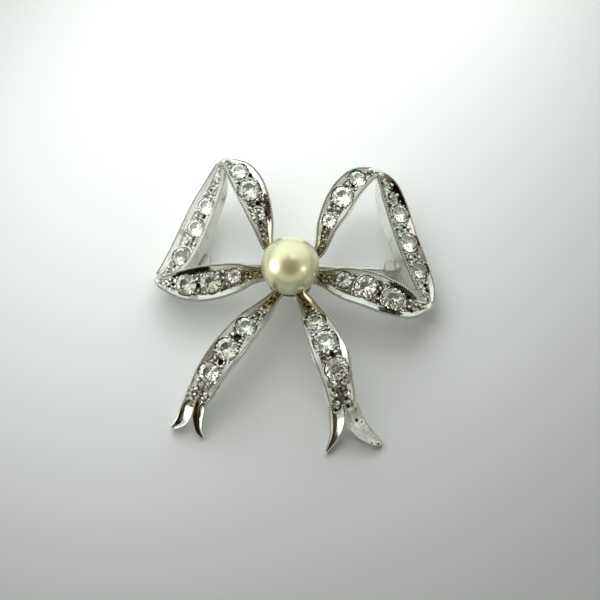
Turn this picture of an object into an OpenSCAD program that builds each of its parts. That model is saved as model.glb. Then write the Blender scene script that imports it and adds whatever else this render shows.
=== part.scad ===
// Ribbon-bow brooch with one pearl on its knot and clear stones along its ribbons.
// It lies face up on the surface z = 0, with its tails towards -Y. Units are millimetres.

/* [Pearl] */
// Diameter of the pearl
pearl_d = 7.5; // [7:0.1:7.8]
// Height of the pearl's middle above the surface that the brooch lies on
pearl_z = 8.8; // [8.7:0.1:9.2]
// Diameter of the peg that the pearl is glued on
peg_d = 0.9; // [0.7:0.05:1.1]

/* [Ribbon] */
// Width of the milled rim along each side of a strip
rim_w = 0.22; // [0.15:0.01:0.3]
// Width of the bright-cut slope inside each rim
slope_w = 0.28; // [0.2:0.01:0.35]
// Depth of the sunken floor below the rims
floor_sink = 0.45; // [0.3:0.05:0.5]
// Depth of the side walls where a strip is broad
wall_depth = 2; // [1.9:0.1:2.3]
// How far each side wall leans in at its foot
wall_draft = 0.15; // [0.05:0.05:0.3]
// Depth of the gouged groove in the split ends
gouge = 0.3; // [0.1:0.05:0.4]
// Cross-sections from one station to the next
rings = 2; // [1:1:3]

/* [Knot] */
// Radius of the knot plate under the pearl
knot_r = 2.9; // [2.7:0.1:3.1]
// Height of the knot plate's upper face
knot_z = 5; // [4.8:0.1:5]
// Thickness of the knot plate
knot_t = 1.3; // [1.2:0.1:1.8]
// Outer radius of the cup that the pearl sits in
cup_r = 2.6; // [2.2:0.1:2.8]

/* [Stones] */
// Diameter of a stone's table, as a share of the stone's own
table_share = 0.56; // [0.5:0.01:0.62]
// Height of the crown, as a share of the stone's diameter
crown_share = 0.15; // [0.12:0.01:0.18]
// Depth of the pavilion, as a share of the stone's diameter
pavilion_share = 0.4; // [0.36:0.01:0.42]
// Half the thickness of the girdle, as a share of the stone's diameter
girdle_share = 0.015; // [0.01:0.005:0.02]
// Free space around a stone in its drilled seat
seat_gap = 0.04; // [0.02:0.01:0.06]

/* [Pin] */
// Diameter of the pin stem
stem_d = 0.8; // [0.7:0.05:0.85]
// Height of the stem and of its pivot above the surface
stem_z = 1.1; // [1.05:0.05:1.2]
// How far above the knot's middle the stem passes, seen from the front
stem_y = 3.1; // [3:0.1:3.3]
// How far the stem is turned from the bow's own cross line, in degrees
stem_turn = 2.5; // [0:0.5:3]
// Distance from the knot's middle to the hinge's pivot, on the left
hinge_x = 11.9; // [11.6:0.1:12.2]
// Distance from the knot's middle to the middle of the catch, on the right
catch_x = 13; // [12.9:0.1:13.3]
// Length of the ground point of the stem
point_l = 3.6; // [3:0.2:4]
// Diameter of the hinge's rivet
rivet_d = 0.7; // [0.6:0.05:0.75]
// Running clearance between the rivet and what turns on it
run_gap = 0.05; // [0.03:0.01:0.06]

/* [Hidden] */

// The knot's middle, set so that the whole brooch is centred on the Z axis
KNOT = [-0.6, 3.1, 0];

// Columns of a station row: the middle between the two rims, the width over the rims, the bank
// (how far the left edge is raised, in degrees, walking along the strip) and the mitre
// (how far the cross-section is turned, in degrees, where a fold cuts the strip off aslant).
// Places are measured from the knot's middle.
X = 0;
Y = 1;
Z = 2;
WIDE = 3;
BANK = 4;
MITRE = 5;

// Upper petals, from the knot to the top folds
LEFT_UPPER = [
    [-1.7, 2.3, 5.1, 1.5, 0, 0],
    [-3.3, 4.0, 5.7, 1.7, 0, 0],
    [-4.2, 6.6, 7.0, 3.0, 0, 0],
    [-5.2, 8.9, 7.9, 3.9, 0, 0],
    [-6.4, 11.3, 8.2, 4.2, 0, 0],
    [-7.9, 13.6, 7.9, 3.6, 0, -15],
    [-9.7, 15.2, 7.2, 2.1, 0, -40],
];
RIGHT_UPPER = [
    [1.9, 2.4, 5.1, 1.5, 0, 0],
    [3.6, 4.1, 5.7, 1.7, 0, 0],
    [4.3, 6.9, 7.0, 2.8, 0, 0],
    [5.4, 9.5, 7.9, 3.7, 0, 0],
    [6.6, 11.9, 8.2, 3.7, 0, 0],
    [8.1, 13.8, 7.9, 3.2, 0, 0],
    [10.0, 15.2, 7.2, 1.6, 0, 15],
];
// Outer strips, from the top folds to the lower folds
LEFT_OUTER = [
    [-10.5, 15.2, 6.3, 1.4, 8, 0],
    [-11.2, 12.4, 5.9, 3.0, 20, 0],
    [-12.2, 9.6, 5.4, 3.9, 22, 0],
    [-13.1, 6.9, 4.8, 4.3, 22, 0],
    [-14.1, 4.0, 4.3, 4.3, 21, 0],
    [-15.3, 1.4, 3.9, 3.9, 20, 0],
    [-16.9, -0.8, 3.6, 2.3, 12, 0],
];
RIGHT_OUTER = [
    [10.8, 15.2, 6.3, 1.4, -15, 0],
    [12.0, 13.9, 5.9, 3.1, -25, 0],
    [13.2, 11.3, 5.4, 3.8, -28, 0],
    [14.7, 7.5, 4.8, 3.8, -30, 0],
    [16.3, 3.9, 4.2, 3.7, -28, 0],
    [17.7, 0.7, 3.7, 2.9, -22, 0],
    [18.2, -1.4, 3.5, 1.8, -12, 0],
];
// Lower petals, from the knot to the lower folds
LEFT_LOWER = [
    [-2.2, 0.4, 5.1, 1.6, -10, 0],
    [-4.8, -0.2, 5.4, 2.4, -20, 0],
    [-6.8, -0.9, 5.8, 3.8, -23, 0],
    [-9.9, -1.9, 6.0, 4.6, -23, 0],
    [-13.2, -2.2, 5.3, 4.3, -23, 0],
    [-16.2, -1.8, 4.4, 2.3, -18, 0],
    [-17.5, -1.2, 4.0, 1.0, -10, 0],
];
RIGHT_LOWER = [
    [2.2, 0.4, 5.1, 1.6, 10, 0],
    [4.4, 0.0, 5.4, 2.4, 20, 0],
    [6.9, -0.6, 5.8, 4.1, 23, 0],
    [10.1, -1.3, 6.0, 4.7, 23, 0],
    [13.2, -2.1, 5.5, 4.5, 23, 0],
    [15.9, -2.7, 4.8, 3.4, 20, 0],
    [17.9, -2.3, 4.2, 1.5, 12, 0],
];
// Tails, from the knot to the root of their split ends
LEFT_TAIL = [
    [-1.2, -2.1, 5.1, 1.4, 0, 0],
    [-2.1, -3.4, 5.4, 1.8, 0, 0],
    [-3.5, -5.8, 6.3, 3.0, 0, 0],
    [-4.8, -7.7, 7.0, 3.6, 0, 0],
    [-7.0, -11.1, 7.2, 3.9, 0, 0],
    [-9.0, -14.2, 6.0, 3.7, 0, 0],
    [-10.2, -16.4, 4.2, 3.3, 0, 0],
];
RIGHT_TAIL = [
    [1.3, -2.1, 5.1, 1.6, 0, 0],
    [2.4, -3.7, 5.4, 2.3, 0, 0],
    [3.9, -6.8, 6.8, 3.9, 0, 0],
    [5.1, -9.2, 7.6, 4.4, 0, 0],
    [6.1, -11.4, 7.7, 4.6, 0, 0],
    [7.2, -14.2, 6.1, 3.9, 0, 0],
    [8.0, -16.6, 4.1, 3.5, 0, 0],
];
// The two points of each split end, past the end of their tail: the one on the left, walking
// outwards, and the one on the right
LEFT_TAIL_POINTS = [
    [
        [-10.1, -18.2, 2.5, 1.6, 0, 0],
        [-10.3, -19.5, 1.5, 1.1, 0, 0],
        [-9.5, -21.0, 0.55, 0.5, 0, 0],
    ],
    [
        [-11.9, -18.0, 2.6, 1.6, 0, 0],
        [-12.8, -19.3, 1.5, 1.1, 0, 0],
        [-13.7, -20.1, 0.55, 0.5, 0, 0],
    ],
];
RIGHT_TAIL_POINTS = [
    [
        [9.6, -17.7, 2.8, 2.3, 0, 0],
        [11.3, -19.0, 1.6, 1.8, 0, 0],
        [13.3, -20.1, 0.55, 0.5, 0, 0],
    ],
    [
        [7.2, -18.2, 2.6, 1.6, 0, 0],
        [7.1, -19.9, 1.5, 1.1, 0, 0],
        [6.3, -21.9, 0.55, 0.5, 0, 0],
    ],
];

// Columns of a stone row: the place along the strip, counted in stations, the stone's diameter
// and how far it stands to the left of the strip's middle
AT = 0;
DIA = 1;
LEFT = 2;

// Columns of a strip row
NAME = 0;
ROWS = 1;
STONES = 2;
STRIPS = [
    ["left_upper", LEFT_UPPER, [[2.4, 1.8, 0.2], [3.8, 3.0, 0.2], [5.0, 2.3, 0.1]]],
    ["right_upper", RIGHT_UPPER, [[2.2, 1.8, 0], [3.5, 2.8, 0], [4.9, 2.3, 0.1]]],
    ["left_outer", LEFT_OUTER, [[2.1, 2.5, 0.2], [3.2, 2.6, 0.1], [4.6, 2.6, 0]]],
    ["right_outer", RIGHT_OUTER, [[2.3, 2.5, 0.5], [3.3, 2.7, 0.3], [4.3, 2.4, 0.3]]],
    ["left_lower", LEFT_LOWER, [[2.1, 1.8, -0.2], [3.1, 2.8, 0], [4.1, 2.8, 0]]],
    ["right_lower", RIGHT_LOWER, [[2.0, 2.1, 0.4], [2.9, 2.8, 0.2], [4.1, 2.8, 0]]],
    ["left_tail", LEFT_TAIL, [[3.1, 2.7, 0], [4.05, 3.0, 0], [5.05, 2.6, -0.2]]],
    ["right_tail", RIGHT_TAIL, [[1.85, 2.7, 0], [3.05, 3.2, 0], [4.55, 2.9, 0.2]]],
];

// Columns of a bead row in a fold: its middle and its radius
RADIUS = 3;
FOLDS = [
    [[-10.7, 15.1, 6.0, 0.5], [-9.9, 15.4, 6.5, 0.5], [-9.2, 15.3, 6.7, 0.5]],
    [[11.2, 15.1, 6.0, 0.5], [10.5, 15.3, 6.5, 0.5], [9.8, 15.2, 6.7, 0.5]],
    [[-17.2, -0.6, 3.1, 0.4], [-17.5, -1.2, 3.5, 0.4], [-16.9, -1.7, 3.8, 0.4]],
    [[18.4, -1.2, 3.0, 0.4], [18.3, -2.0, 3.4, 0.4], [17.6, -2.5, 3.7, 0.4]],
];

// Facets around a stone's table, and sides of a drilled seat, of a fold's bead and of round work
FACETS = 8;
SEAT_SIDES = 14;
BEAD_SIDES = 8;
SMOOTH = 48;
// Turn of a seat's outline, which keeps its corners off the strip's own cross-sections
SEAT_TURN = 7;
// Width of the hole through a seat's back, as a share of the seat's own
HOLE_SHARE = 0.45;
// How far a stone's girdle stands over the floor of its strip
GIRDLE_RISE = 0.1;
// How far two parts of one solid run into each other
OVERLAP = 0.2;
// Length, in stations, over which a strip's direction is taken
STEP = 0.05;

// The flats on the ribbons' backs that the hinge and the catch are soldered to
PAD_Z = 2.6;
PAD_TOP = 3.7;
PAD_SIZE = [1.8, 2.2];
HINGE_PAD_X = -13.3;
CATCH_PAD_X = 14.6;
// What the solder takes up between a flat and its fitting
SOLDER = 0.02;
fitting_z = PAD_Z - SOLDER;
foot_t = 0.4;

// Clear space around a fitting in what is filed away for it
FILE_GAP = 0.12;

// The hinge's two cheeks, and the eye of the stem between them
cheek_r = stem_z;
cheek_t = 0.5;
eye_r = cheek_r - 0.15;
eye_t = stem_d + 0.1;
slot_w = eye_t + 0.1;
hinge_w = slot_w + 2 * cheek_t;
hinge_foot_x = HINGE_PAD_X - PAD_SIZE[0] / 2;
pivot = [-hinge_x, stem_y, stem_z];
bore_r = rivet_d / 2 + run_gap;
head_r = 0.6;
head_t = 0.2;

// The stem, with a tapered shoulder at its eye, which runs on past the catch, and the catch's
// ring with its mouth
shoulder_d = eye_t + 0.02;
shaft_start = cheek_r + 0.2 - hinge_x;
shaft_end = catch_x + 2 - point_l;
tip_d = 0.1;
catch_w = 1.2;
catch_left = catch_x - catch_w / 2;
catch_right = CATCH_PAD_X + PAD_SIZE[0] / 2;
catch_mouth = stem_d + 0.2;
catch_r = norm([stem_z, catch_mouth / 2]);
catch_inner_r = 0.65;
catch_foot_w = PAD_SIZE[1] - 0.4;
neck_w = 1;

peg_top = pearl_z + 0.6;

stone_name = function(strip, i) str("stone_", strip[NAME], "_", i + 1);

function unit(v) = v / norm(v);
function place(row) = [row[X], row[Y], row[Z]];

// A row between two stations, on a smooth curve through all of them
function between(rows, t) =
    let (
        i = max(0, min(floor(t), len(rows) - 2)),
        f = t - i,
        before = rows[max(i - 1, 0)],
        a = rows[i],
        b = rows[i + 1],
        after = rows[min(i + 2, len(rows) - 1)]
    )
    (2 * a + (b - before) * f + (2 * before - 5 * a + 4 * b - after) * f * f
        + (3 * a - before - 3 * b + after) * f * f * f) / 2;

// The axes of a strip at a place along it: across to the left, ahead, and out of its face
function axes(rows, t) =
    let (
        row = between(rows, t),
        ahead = unit(place(between(rows, t + STEP)) - place(between(rows, t - STEP))),
        level = unit(cross([0, 0, 1], ahead)),
        up = cross(ahead, level),
        mitred = level * cos(row[MITRE]) + cross(up, level) * sin(row[MITRE]),
        across = mitred * cos(row[BANK]) + up * sin(row[BANK])
    )
    [across, ahead, up * cos(row[BANK]) - mitred * sin(row[BANK])];

// Depth of a strip's side walls, which grow shallow where it is narrow
function depth(w) = min(wall_depth, 0.35 + 0.45 * w);

// Cross-section of a strip: rims, slopes, sunken floor and leaning walls
function channel(w) =
    let (
        h = w / 2,
        floor_h = max(h - rim_w - slope_w, 0.1),
        sink = floor_sink * min(1, w / 3)
    )
    [
        [h, 0], [h - rim_w, 0], [floor_h, -sink], [-floor_h, -sink], [rim_w - h, 0], [-h, 0],
        [wall_draft - h, -depth(w)], [h - wall_draft, -depth(w)]
    ];

// Cross-section of a split end's point: two rims and one gouged groove
function gouged(w) =
    let (h = w / 2, rim = min(rim_w, h / 2))
    [
        [h, 0], [h - rim, 0], [0, -min(gouge, w / 3)], [rim - h, 0], [-h, 0],
        [-0.8 * h, -depth(w)], [0.8 * h, -depth(w)]
    ];

// A solid swept through the stations, with cross-sections from the given function
module sweep(rows, section) {
    count = (len(rows) - 1) * rings;
    loops = [
        for (k = [0 : count])
            let (t = k / rings, row = between(rows, t), a = axes(rows, t))
            [for (p = section(row[WIDE])) place(row) + p[0] * a[0] + p[1] * a[2]]
    ];
    m = len(loops[0]);
    sides = [
        for (k = [0 : count - 1])
            for (i = [0 : m - 1])
                let (a = k * m + i, b = k * m + (i + 1) % m)
                each [[a, a + m, b + m], [a, b + m, b]]
    ];
    start = [for (i = [0 : m - 1]) i];
    end = [for (i = [m - 1 : -1 : 0]) count * m + i];
    polyhedron([for (loop = loops) each loop], concat([start], sides, [end]), convexity = 6);
}

// Sets its children on a stone's place, with +Z out of the strip's face and Z = 0 at the girdle
module on_strip(rows, stone) {
    row = between(rows, stone[AT]);
    a = axes(rows, stone[AT]);
    p = place(row) + stone[LEFT] * a[0] - (floor_sink - GIRDLE_RISE) * a[2];
    side = cross(a[1], a[2]);
    multmatrix([
        [side[0], a[1][0], a[2][0], p[0]],
        [side[1], a[1][1], a[2][1], p[1]],
        [side[2], a[1][2], a[2][2], p[2]]
    ]) children();
}

// A round stone with its girdle at z = 0: table, stars, kites, girdle facets and pavilion
module brilliant(d) {
    r = d / 2;
    table_r = r * table_share;
    star_r = 0.77 * r;
    low_r = 0.3 * r;
    girdle = girdle_share * d;
    crown = d * crown_share;
    pavilion = d * pavilion_share;
    half = 180 / FACETS;
    star_z = crown * (r - star_r * cos(half)) / (r - table_r);
    low_z = pavilion * (low_r * cos(half) / r - 1);
    ring = function(radius, z, count, turn)
        [for (i = [0 : count - 1])
            let (a = turn + i * 360 / count)
            [radius * cos(a), radius * sin(a), z]];
    points = concat(
        ring(table_r, crown + girdle, FACETS, 0),
        ring(star_r, star_z + girdle, FACETS, half),
        ring(r, girdle, 2 * FACETS, 0),
        ring(r, -girdle, 2 * FACETS, 0),
        ring(low_r, low_z - girdle, FACETS, half),
        [[0, 0, -pavilion - girdle]]
    );
    // Where each ring starts among the points
    star = FACETS;
    upper = 2 * FACETS;
    lower = 4 * FACETS;
    low = 6 * FACETS;
    tip = 7 * FACETS;
    next = function(i, count) (i + 1) % count;
    table = [for (i = [FACETS - 1 : -1 : 0]) i];
    eighths = [
        for (i = [0 : FACETS - 1])
            let (n = next(i, FACETS), a = 2 * i, b = a + 1, c = next(b, 2 * FACETS))
            each [
                [i, n, star + i],
                [n, upper + c, star + i],
                [n, star + n, upper + c],
                [star + i, upper + b, upper + a],
                [star + i, upper + c, upper + b],
                [low + i, lower + a, lower + b],
                [low + i, lower + b, lower + c],
                [tip, low + i, lower + c, low + n]
            ]
    ];
    band = [
        for (i = [0 : 2 * FACETS - 1])
            let (n = next(i, 2 * FACETS))
            [upper + i, upper + n, lower + n, lower + i]
    ];
    polyhedron(points, concat([table], eighths, band), convexity = 2);
}

// What the drill takes away for one stone: its girdle, its pavilion and a way through the back
module seat(d) {
    r = (d / 2 + seat_gap) / cos(180 / SEAT_SIDES);
    hole_r = HOLE_SHARE * r;
    cone_h = (1 - HOLE_SHARE) * d * pavilion_share;
    top = -girdle_share * d - seat_gap;
    rotate([0, 0, SEAT_TURN]) {
        translate([0, 0, top]) cylinder(h = floor_sink - top, r = r, $fn = SEAT_SIDES);
        translate([0, 0, top - cone_h])
            cylinder(h = cone_h + 0.01, r1 = hole_r, r2 = r, $fn = SEAT_SIDES);
        translate([0, 0, -wall_depth - 1])
            cylinder(h = wall_depth + 1, r = hole_r, $fn = SEAT_SIDES);
    }
}

// The two points that a tail splits into, each growing out of its half of the tail's end
module split_end(tail, points) {
    t = len(tail) - 1.25;
    row = between(tail, t);
    a = axes(tail, t);
    for (side = [0, 1]) {
        p = place(row) + (1 - 2 * side) * row[WIDE] / 4 * a[0] - 0.06 * a[2];
        sweep(concat([[p[0], p[1], p[2], row[WIDE] / 2 - 0.1, 0, 0]], points[side]),
            function(w) gouged(w));
    }
}

// The rounded bend where one strip turns under the next
module fold(beads) {
    for (i = [0 : len(beads) - 2])
        hull() for (bead = [beads[i], beads[i + 1]])
            translate(place(bead)) sphere(r = bead[RADIUS], $fn = BEAD_SIDES);
}

// A slim web from the knot plate out under the root of a strip
module web(rows) {
    far = rows[1];
    hull() {
        translate([0, 0, knot_z - knot_t + 0.1]) cylinder(h = 0.7, r = knot_r * 0.5, $fn = 16);
        translate(place(far) - [0, 0, 0.8 * depth(far[WIDE])])
            cylinder(h = 0.3, r = 0.25 * far[WIDE], $fn = 12);
    }
}

// The plate under the pearl, with the cup that the pearl sits in and its peg
module knot() {
    rim_z = pearl_z - sqrt(pow(pearl_d / 2, 2) - pow(cup_r, 2));
    translate([0, 0, knot_z - knot_t]) cylinder(h = knot_t, r = knot_r, $fn = SMOOTH);
    translate([0, 0, knot_z - OVERLAP])
        cylinder(h = rim_z - knot_z + OVERLAP, r1 = cup_r - 0.3, r2 = cup_r, $fn = SMOOTH);
    translate([0, 0, knot_z - OVERLAP])
        cylinder(h = peg_top - knot_z + OVERLAP, d = peg_d, $fn = 16);
}

// Takes its children from the pin's own frame, in which the stem runs along X
module on_pin_line() {
    rotate([0, 0, stem_turn]) children();
}

// A flat under a ribbon's back
module solder_flat(x) {
    translate([x - PAD_SIZE[0] / 2, stem_y - PAD_SIZE[1] / 2, PAD_Z])
        cube([PAD_SIZE[0], PAD_SIZE[1], PAD_TOP - PAD_Z]);
}

// What is filed away below the flats, so that a fitting has its place
module filed(left, right, wide) {
    translate([left - FILE_GAP, stem_y - wide / 2 - FILE_GAP, 0])
        cube([right - left + 2 * FILE_GAP, wide + 2 * FILE_GAP, PAD_Z]);
}

module ribbon_frame() {
    color("silver")
    translate(KNOT)
    difference() {
        union() {
            for (strip = STRIPS) sweep(strip[ROWS], function(w) channel(w));
            split_end(LEFT_TAIL, LEFT_TAIL_POINTS);
            split_end(RIGHT_TAIL, RIGHT_TAIL_POINTS);
            for (beads = FOLDS) fold(beads);
            for (rows = [LEFT_UPPER, RIGHT_UPPER, LEFT_LOWER, RIGHT_LOWER]) web(rows);
            knot();
            on_pin_line() {
                solder_flat(HINGE_PAD_X);
                solder_flat(CATCH_PAD_X);
            }
        }
        for (strip = STRIPS)
            for (stone = strip[STONES])
                on_strip(strip[ROWS], stone) seat(stone[DIA]);
        difference() {
            translate([0, 0, pearl_z]) sphere(d = pearl_d + 2 * seat_gap, $fn = SMOOTH);
            cylinder(h = 2 * pearl_z, d = peg_d, $fn = 16);
        }
        on_pin_line() {
            filed(hinge_foot_x, pivot[0] + cheek_r, hinge_w);
            filed(catch_left, catch_right, PAD_SIZE[1]);
        }
    }
}

module pearl() {
    color("beige")
    translate(KNOT)
    difference() {
        translate([0, 0, pearl_z]) sphere(d = pearl_d, $fn = SMOOTH);
        cylinder(h = peg_top + seat_gap, d = peg_d + 2 * seat_gap, $fn = SMOOTH);
    }
}

// A cylinder along Y, centred on the pivot
module across_pivot(length, r) {
    translate(pivot) rotate([90, 0, 0]) cylinder(h = length, r = r, center = true, $fn = SMOOTH);
}

// A cylinder along X, from the given place on the stem's line
module along_stem(x, length, r1, r2) {
    translate([x, stem_y, stem_z]) rotate([0, 90, 0])
        cylinder(h = length, r1 = r1, r2 = r2, $fn = SMOOTH);
}

module hinge() {
    color("silver")
    translate(KNOT) on_pin_line()
    difference() {
        union() {
            across_pivot(hinge_w, cheek_r);
            translate([pivot[0] - cheek_r, stem_y - hinge_w / 2, stem_z])
                cube([2 * cheek_r, hinge_w, fitting_z - stem_z]);
            translate([hinge_foot_x, stem_y - hinge_w / 2, fitting_z - foot_t])
                cube([pivot[0] - hinge_foot_x, hinge_w, foot_t]);
        }
        translate([pivot[0] - 2 * cheek_r, stem_y - slot_w / 2, -OVERLAP])
            cube([4 * cheek_r, slot_w, fitting_z - foot_t + OVERLAP]);
        across_pivot(2 * hinge_w, bore_r);
    }
}

module hinge_rivet() {
    shank = hinge_w + 2 * run_gap;
    color("silver")
    translate(KNOT) on_pin_line() {
        across_pivot(shank, rivet_d / 2);
        for (side = [-1, 1])
            translate([0, side * (shank + head_t) / 2, 0]) across_pivot(head_t, head_r);
    }
}

module pin_stem() {
    color("silver")
    translate(KNOT) on_pin_line()
    difference() {
        union() {
            across_pivot(eye_t, eye_r);
            along_stem(-hinge_x, shaft_start + hinge_x, shoulder_d / 2, stem_d / 2);
            along_stem(shaft_start, shaft_end - shaft_start, stem_d / 2, stem_d / 2);
            along_stem(shaft_end, point_l, stem_d / 2, tip_d / 2);
        }
        across_pivot(2 * eye_t, bore_r);
    }
}

module catch() {
    color("silver")
    translate(KNOT) on_pin_line()
    difference() {
        union() {
            along_stem(catch_left, catch_w, catch_r, catch_r);
            translate([catch_left, stem_y - neck_w / 2, stem_z])
                cube([catch_w, neck_w, fitting_z - stem_z]);
            translate([catch_left, stem_y - catch_foot_w / 2, fitting_z - foot_t])
                cube([catch_right - catch_left, catch_foot_w, foot_t]);
        }
        along_stem(catch_left - 1, catch_w + 2, catch_inner_r, catch_inner_r);
        translate([catch_left - 1, stem_y - catch_mouth / 2, -OVERLAP])
            cube([catch_w + 2, catch_mouth, stem_z + OVERLAP]);
    }
}

module stone(strip, i) {
    stone = strip[STONES][i];
    color("white", 0.6)
    translate(KNOT) on_strip(strip[ROWS], stone) brilliant(stone[DIA]);
}

ribbon_frame();
pearl();
hinge();
hinge_rivet();
pin_stem();
catch();
for (strip = STRIPS)
    for (i = [0 : len(strip[STONES]) - 1])
        stone(strip, i);
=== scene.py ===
# %% [markdown]
# # A ribbon-bow brooch with a pearl
# The real brooch is a ribbon tied in a bow: eight strips of bright white metal, each a shallow
# channel with a milled edge and three clear stones, and one pearl on the knot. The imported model
# is the fixed frame, and it says how large everything is and what moves. This script keeps its
# stones, its rivet and its pin, wears the edges of the hinge and the catch, and models the ribbons
# and the pearl again with the finish of the real ones.

# %% The frame
import math

import bpy
import numpy as np
from mathutils import Matrix, Vector


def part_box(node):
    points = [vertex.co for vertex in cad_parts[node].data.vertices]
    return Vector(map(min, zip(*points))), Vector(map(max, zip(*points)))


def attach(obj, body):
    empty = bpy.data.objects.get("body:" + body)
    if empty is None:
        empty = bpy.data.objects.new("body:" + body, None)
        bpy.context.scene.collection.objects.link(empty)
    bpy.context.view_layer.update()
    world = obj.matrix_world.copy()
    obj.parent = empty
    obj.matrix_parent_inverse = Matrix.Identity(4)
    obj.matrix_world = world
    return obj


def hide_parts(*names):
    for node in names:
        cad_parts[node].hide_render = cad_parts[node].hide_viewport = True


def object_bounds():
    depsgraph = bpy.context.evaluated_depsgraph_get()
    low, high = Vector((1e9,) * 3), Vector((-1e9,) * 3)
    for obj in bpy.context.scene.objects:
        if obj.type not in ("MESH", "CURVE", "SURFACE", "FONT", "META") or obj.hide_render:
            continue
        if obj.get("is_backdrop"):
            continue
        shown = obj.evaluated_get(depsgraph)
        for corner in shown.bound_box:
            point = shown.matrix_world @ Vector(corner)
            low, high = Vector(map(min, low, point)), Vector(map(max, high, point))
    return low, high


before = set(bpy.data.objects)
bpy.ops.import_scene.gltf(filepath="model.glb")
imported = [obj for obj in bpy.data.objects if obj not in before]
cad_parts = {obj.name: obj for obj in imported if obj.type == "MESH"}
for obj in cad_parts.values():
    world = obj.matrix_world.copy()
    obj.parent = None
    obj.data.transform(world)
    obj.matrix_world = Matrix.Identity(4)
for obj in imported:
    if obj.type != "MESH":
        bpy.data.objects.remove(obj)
cad_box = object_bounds()

# %% [markdown]
# ## Units and the knot
# Blender counts in metres, and a goldsmith in millimetres. Every place below is written in
# millimetres from the middle of the knot, which is the foot of the pearl's own axis, so all of it
# comes from the frame and nothing has to be fitted.

# %% Where the knot and the pearl are
MM = 0.001
low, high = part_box("pearl")
PEARL_R = (high.x - low.x) / 2
PEARL = Vector(((low.x + high.x) / 2, (low.y + high.y) / 2, high.z - PEARL_R))
KNOT = np.array([PEARL.x, PEARL.y, 0]) / MM
print("the pearl is", round(2 * PEARL_R / MM, 2), "mm wide, at", [round(v / MM, 2) for v in PEARL])

# %% [markdown]
# ## The camera
# The brooch lies on a table and is seen from the front and well above. The lens is long, so the
# far tips of the bow are hardly smaller than the near ones. The camera looks at a point a little
# below the pearl in the picture, as the photographer's did.

# %% Camera
AZIMUTH = math.radians(4.5)
ELEVATION = math.radians(68)
DISTANCE = 170
LENS = 80
FILM_W = 36
# What the camera looks at, to the right of the pearl and above it in the picture
AIM_RIGHT = 1.25
AIM_UP = -4.4
right = Vector((math.cos(AZIMUTH), math.sin(AZIMUTH), 0))
back = Vector((
    math.sin(AZIMUTH) * math.cos(ELEVATION),
    -math.cos(AZIMUTH) * math.cos(ELEVATION),
    math.sin(ELEVATION),
))
up = back.cross(right)
aim = PEARL + (AIM_RIGHT * right + AIM_UP * up) * MM
turned = Matrix((right, up, back)).transposed().to_euler()
bpy.ops.object.camera_add(location=aim + DISTANCE * MM * back, rotation=turned)
camera = bpy.context.object
camera.name = "camera"
camera.data.lens = LENS
camera.data.sensor_width = FILM_W
camera.data.clip_start = MM
bpy.context.scene.camera = camera
print("the camera stands", round(camera.location.z / MM), "mm above the table")

# %% [markdown]
# ## The ribbons' paths
# A strip is bent from a flat piece. Its path goes through a few stations, and each one gives the
# middle between the strip's rims, its width, its bank (how far the left edge is raised, walking
# along the strip) and its mitre (how far its cross-section is turned, where a fold cuts it off
# aslant). These are the stations of the frame's own ribbons, written once more in the same units.

# %% Stations of the eight strips
def stations(*rows):
    """Rows of x, y, z and width, with bank and mitre where they aren't zero."""
    return np.array([row + (0,) * (6 - len(row)) for row in rows], float)


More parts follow.
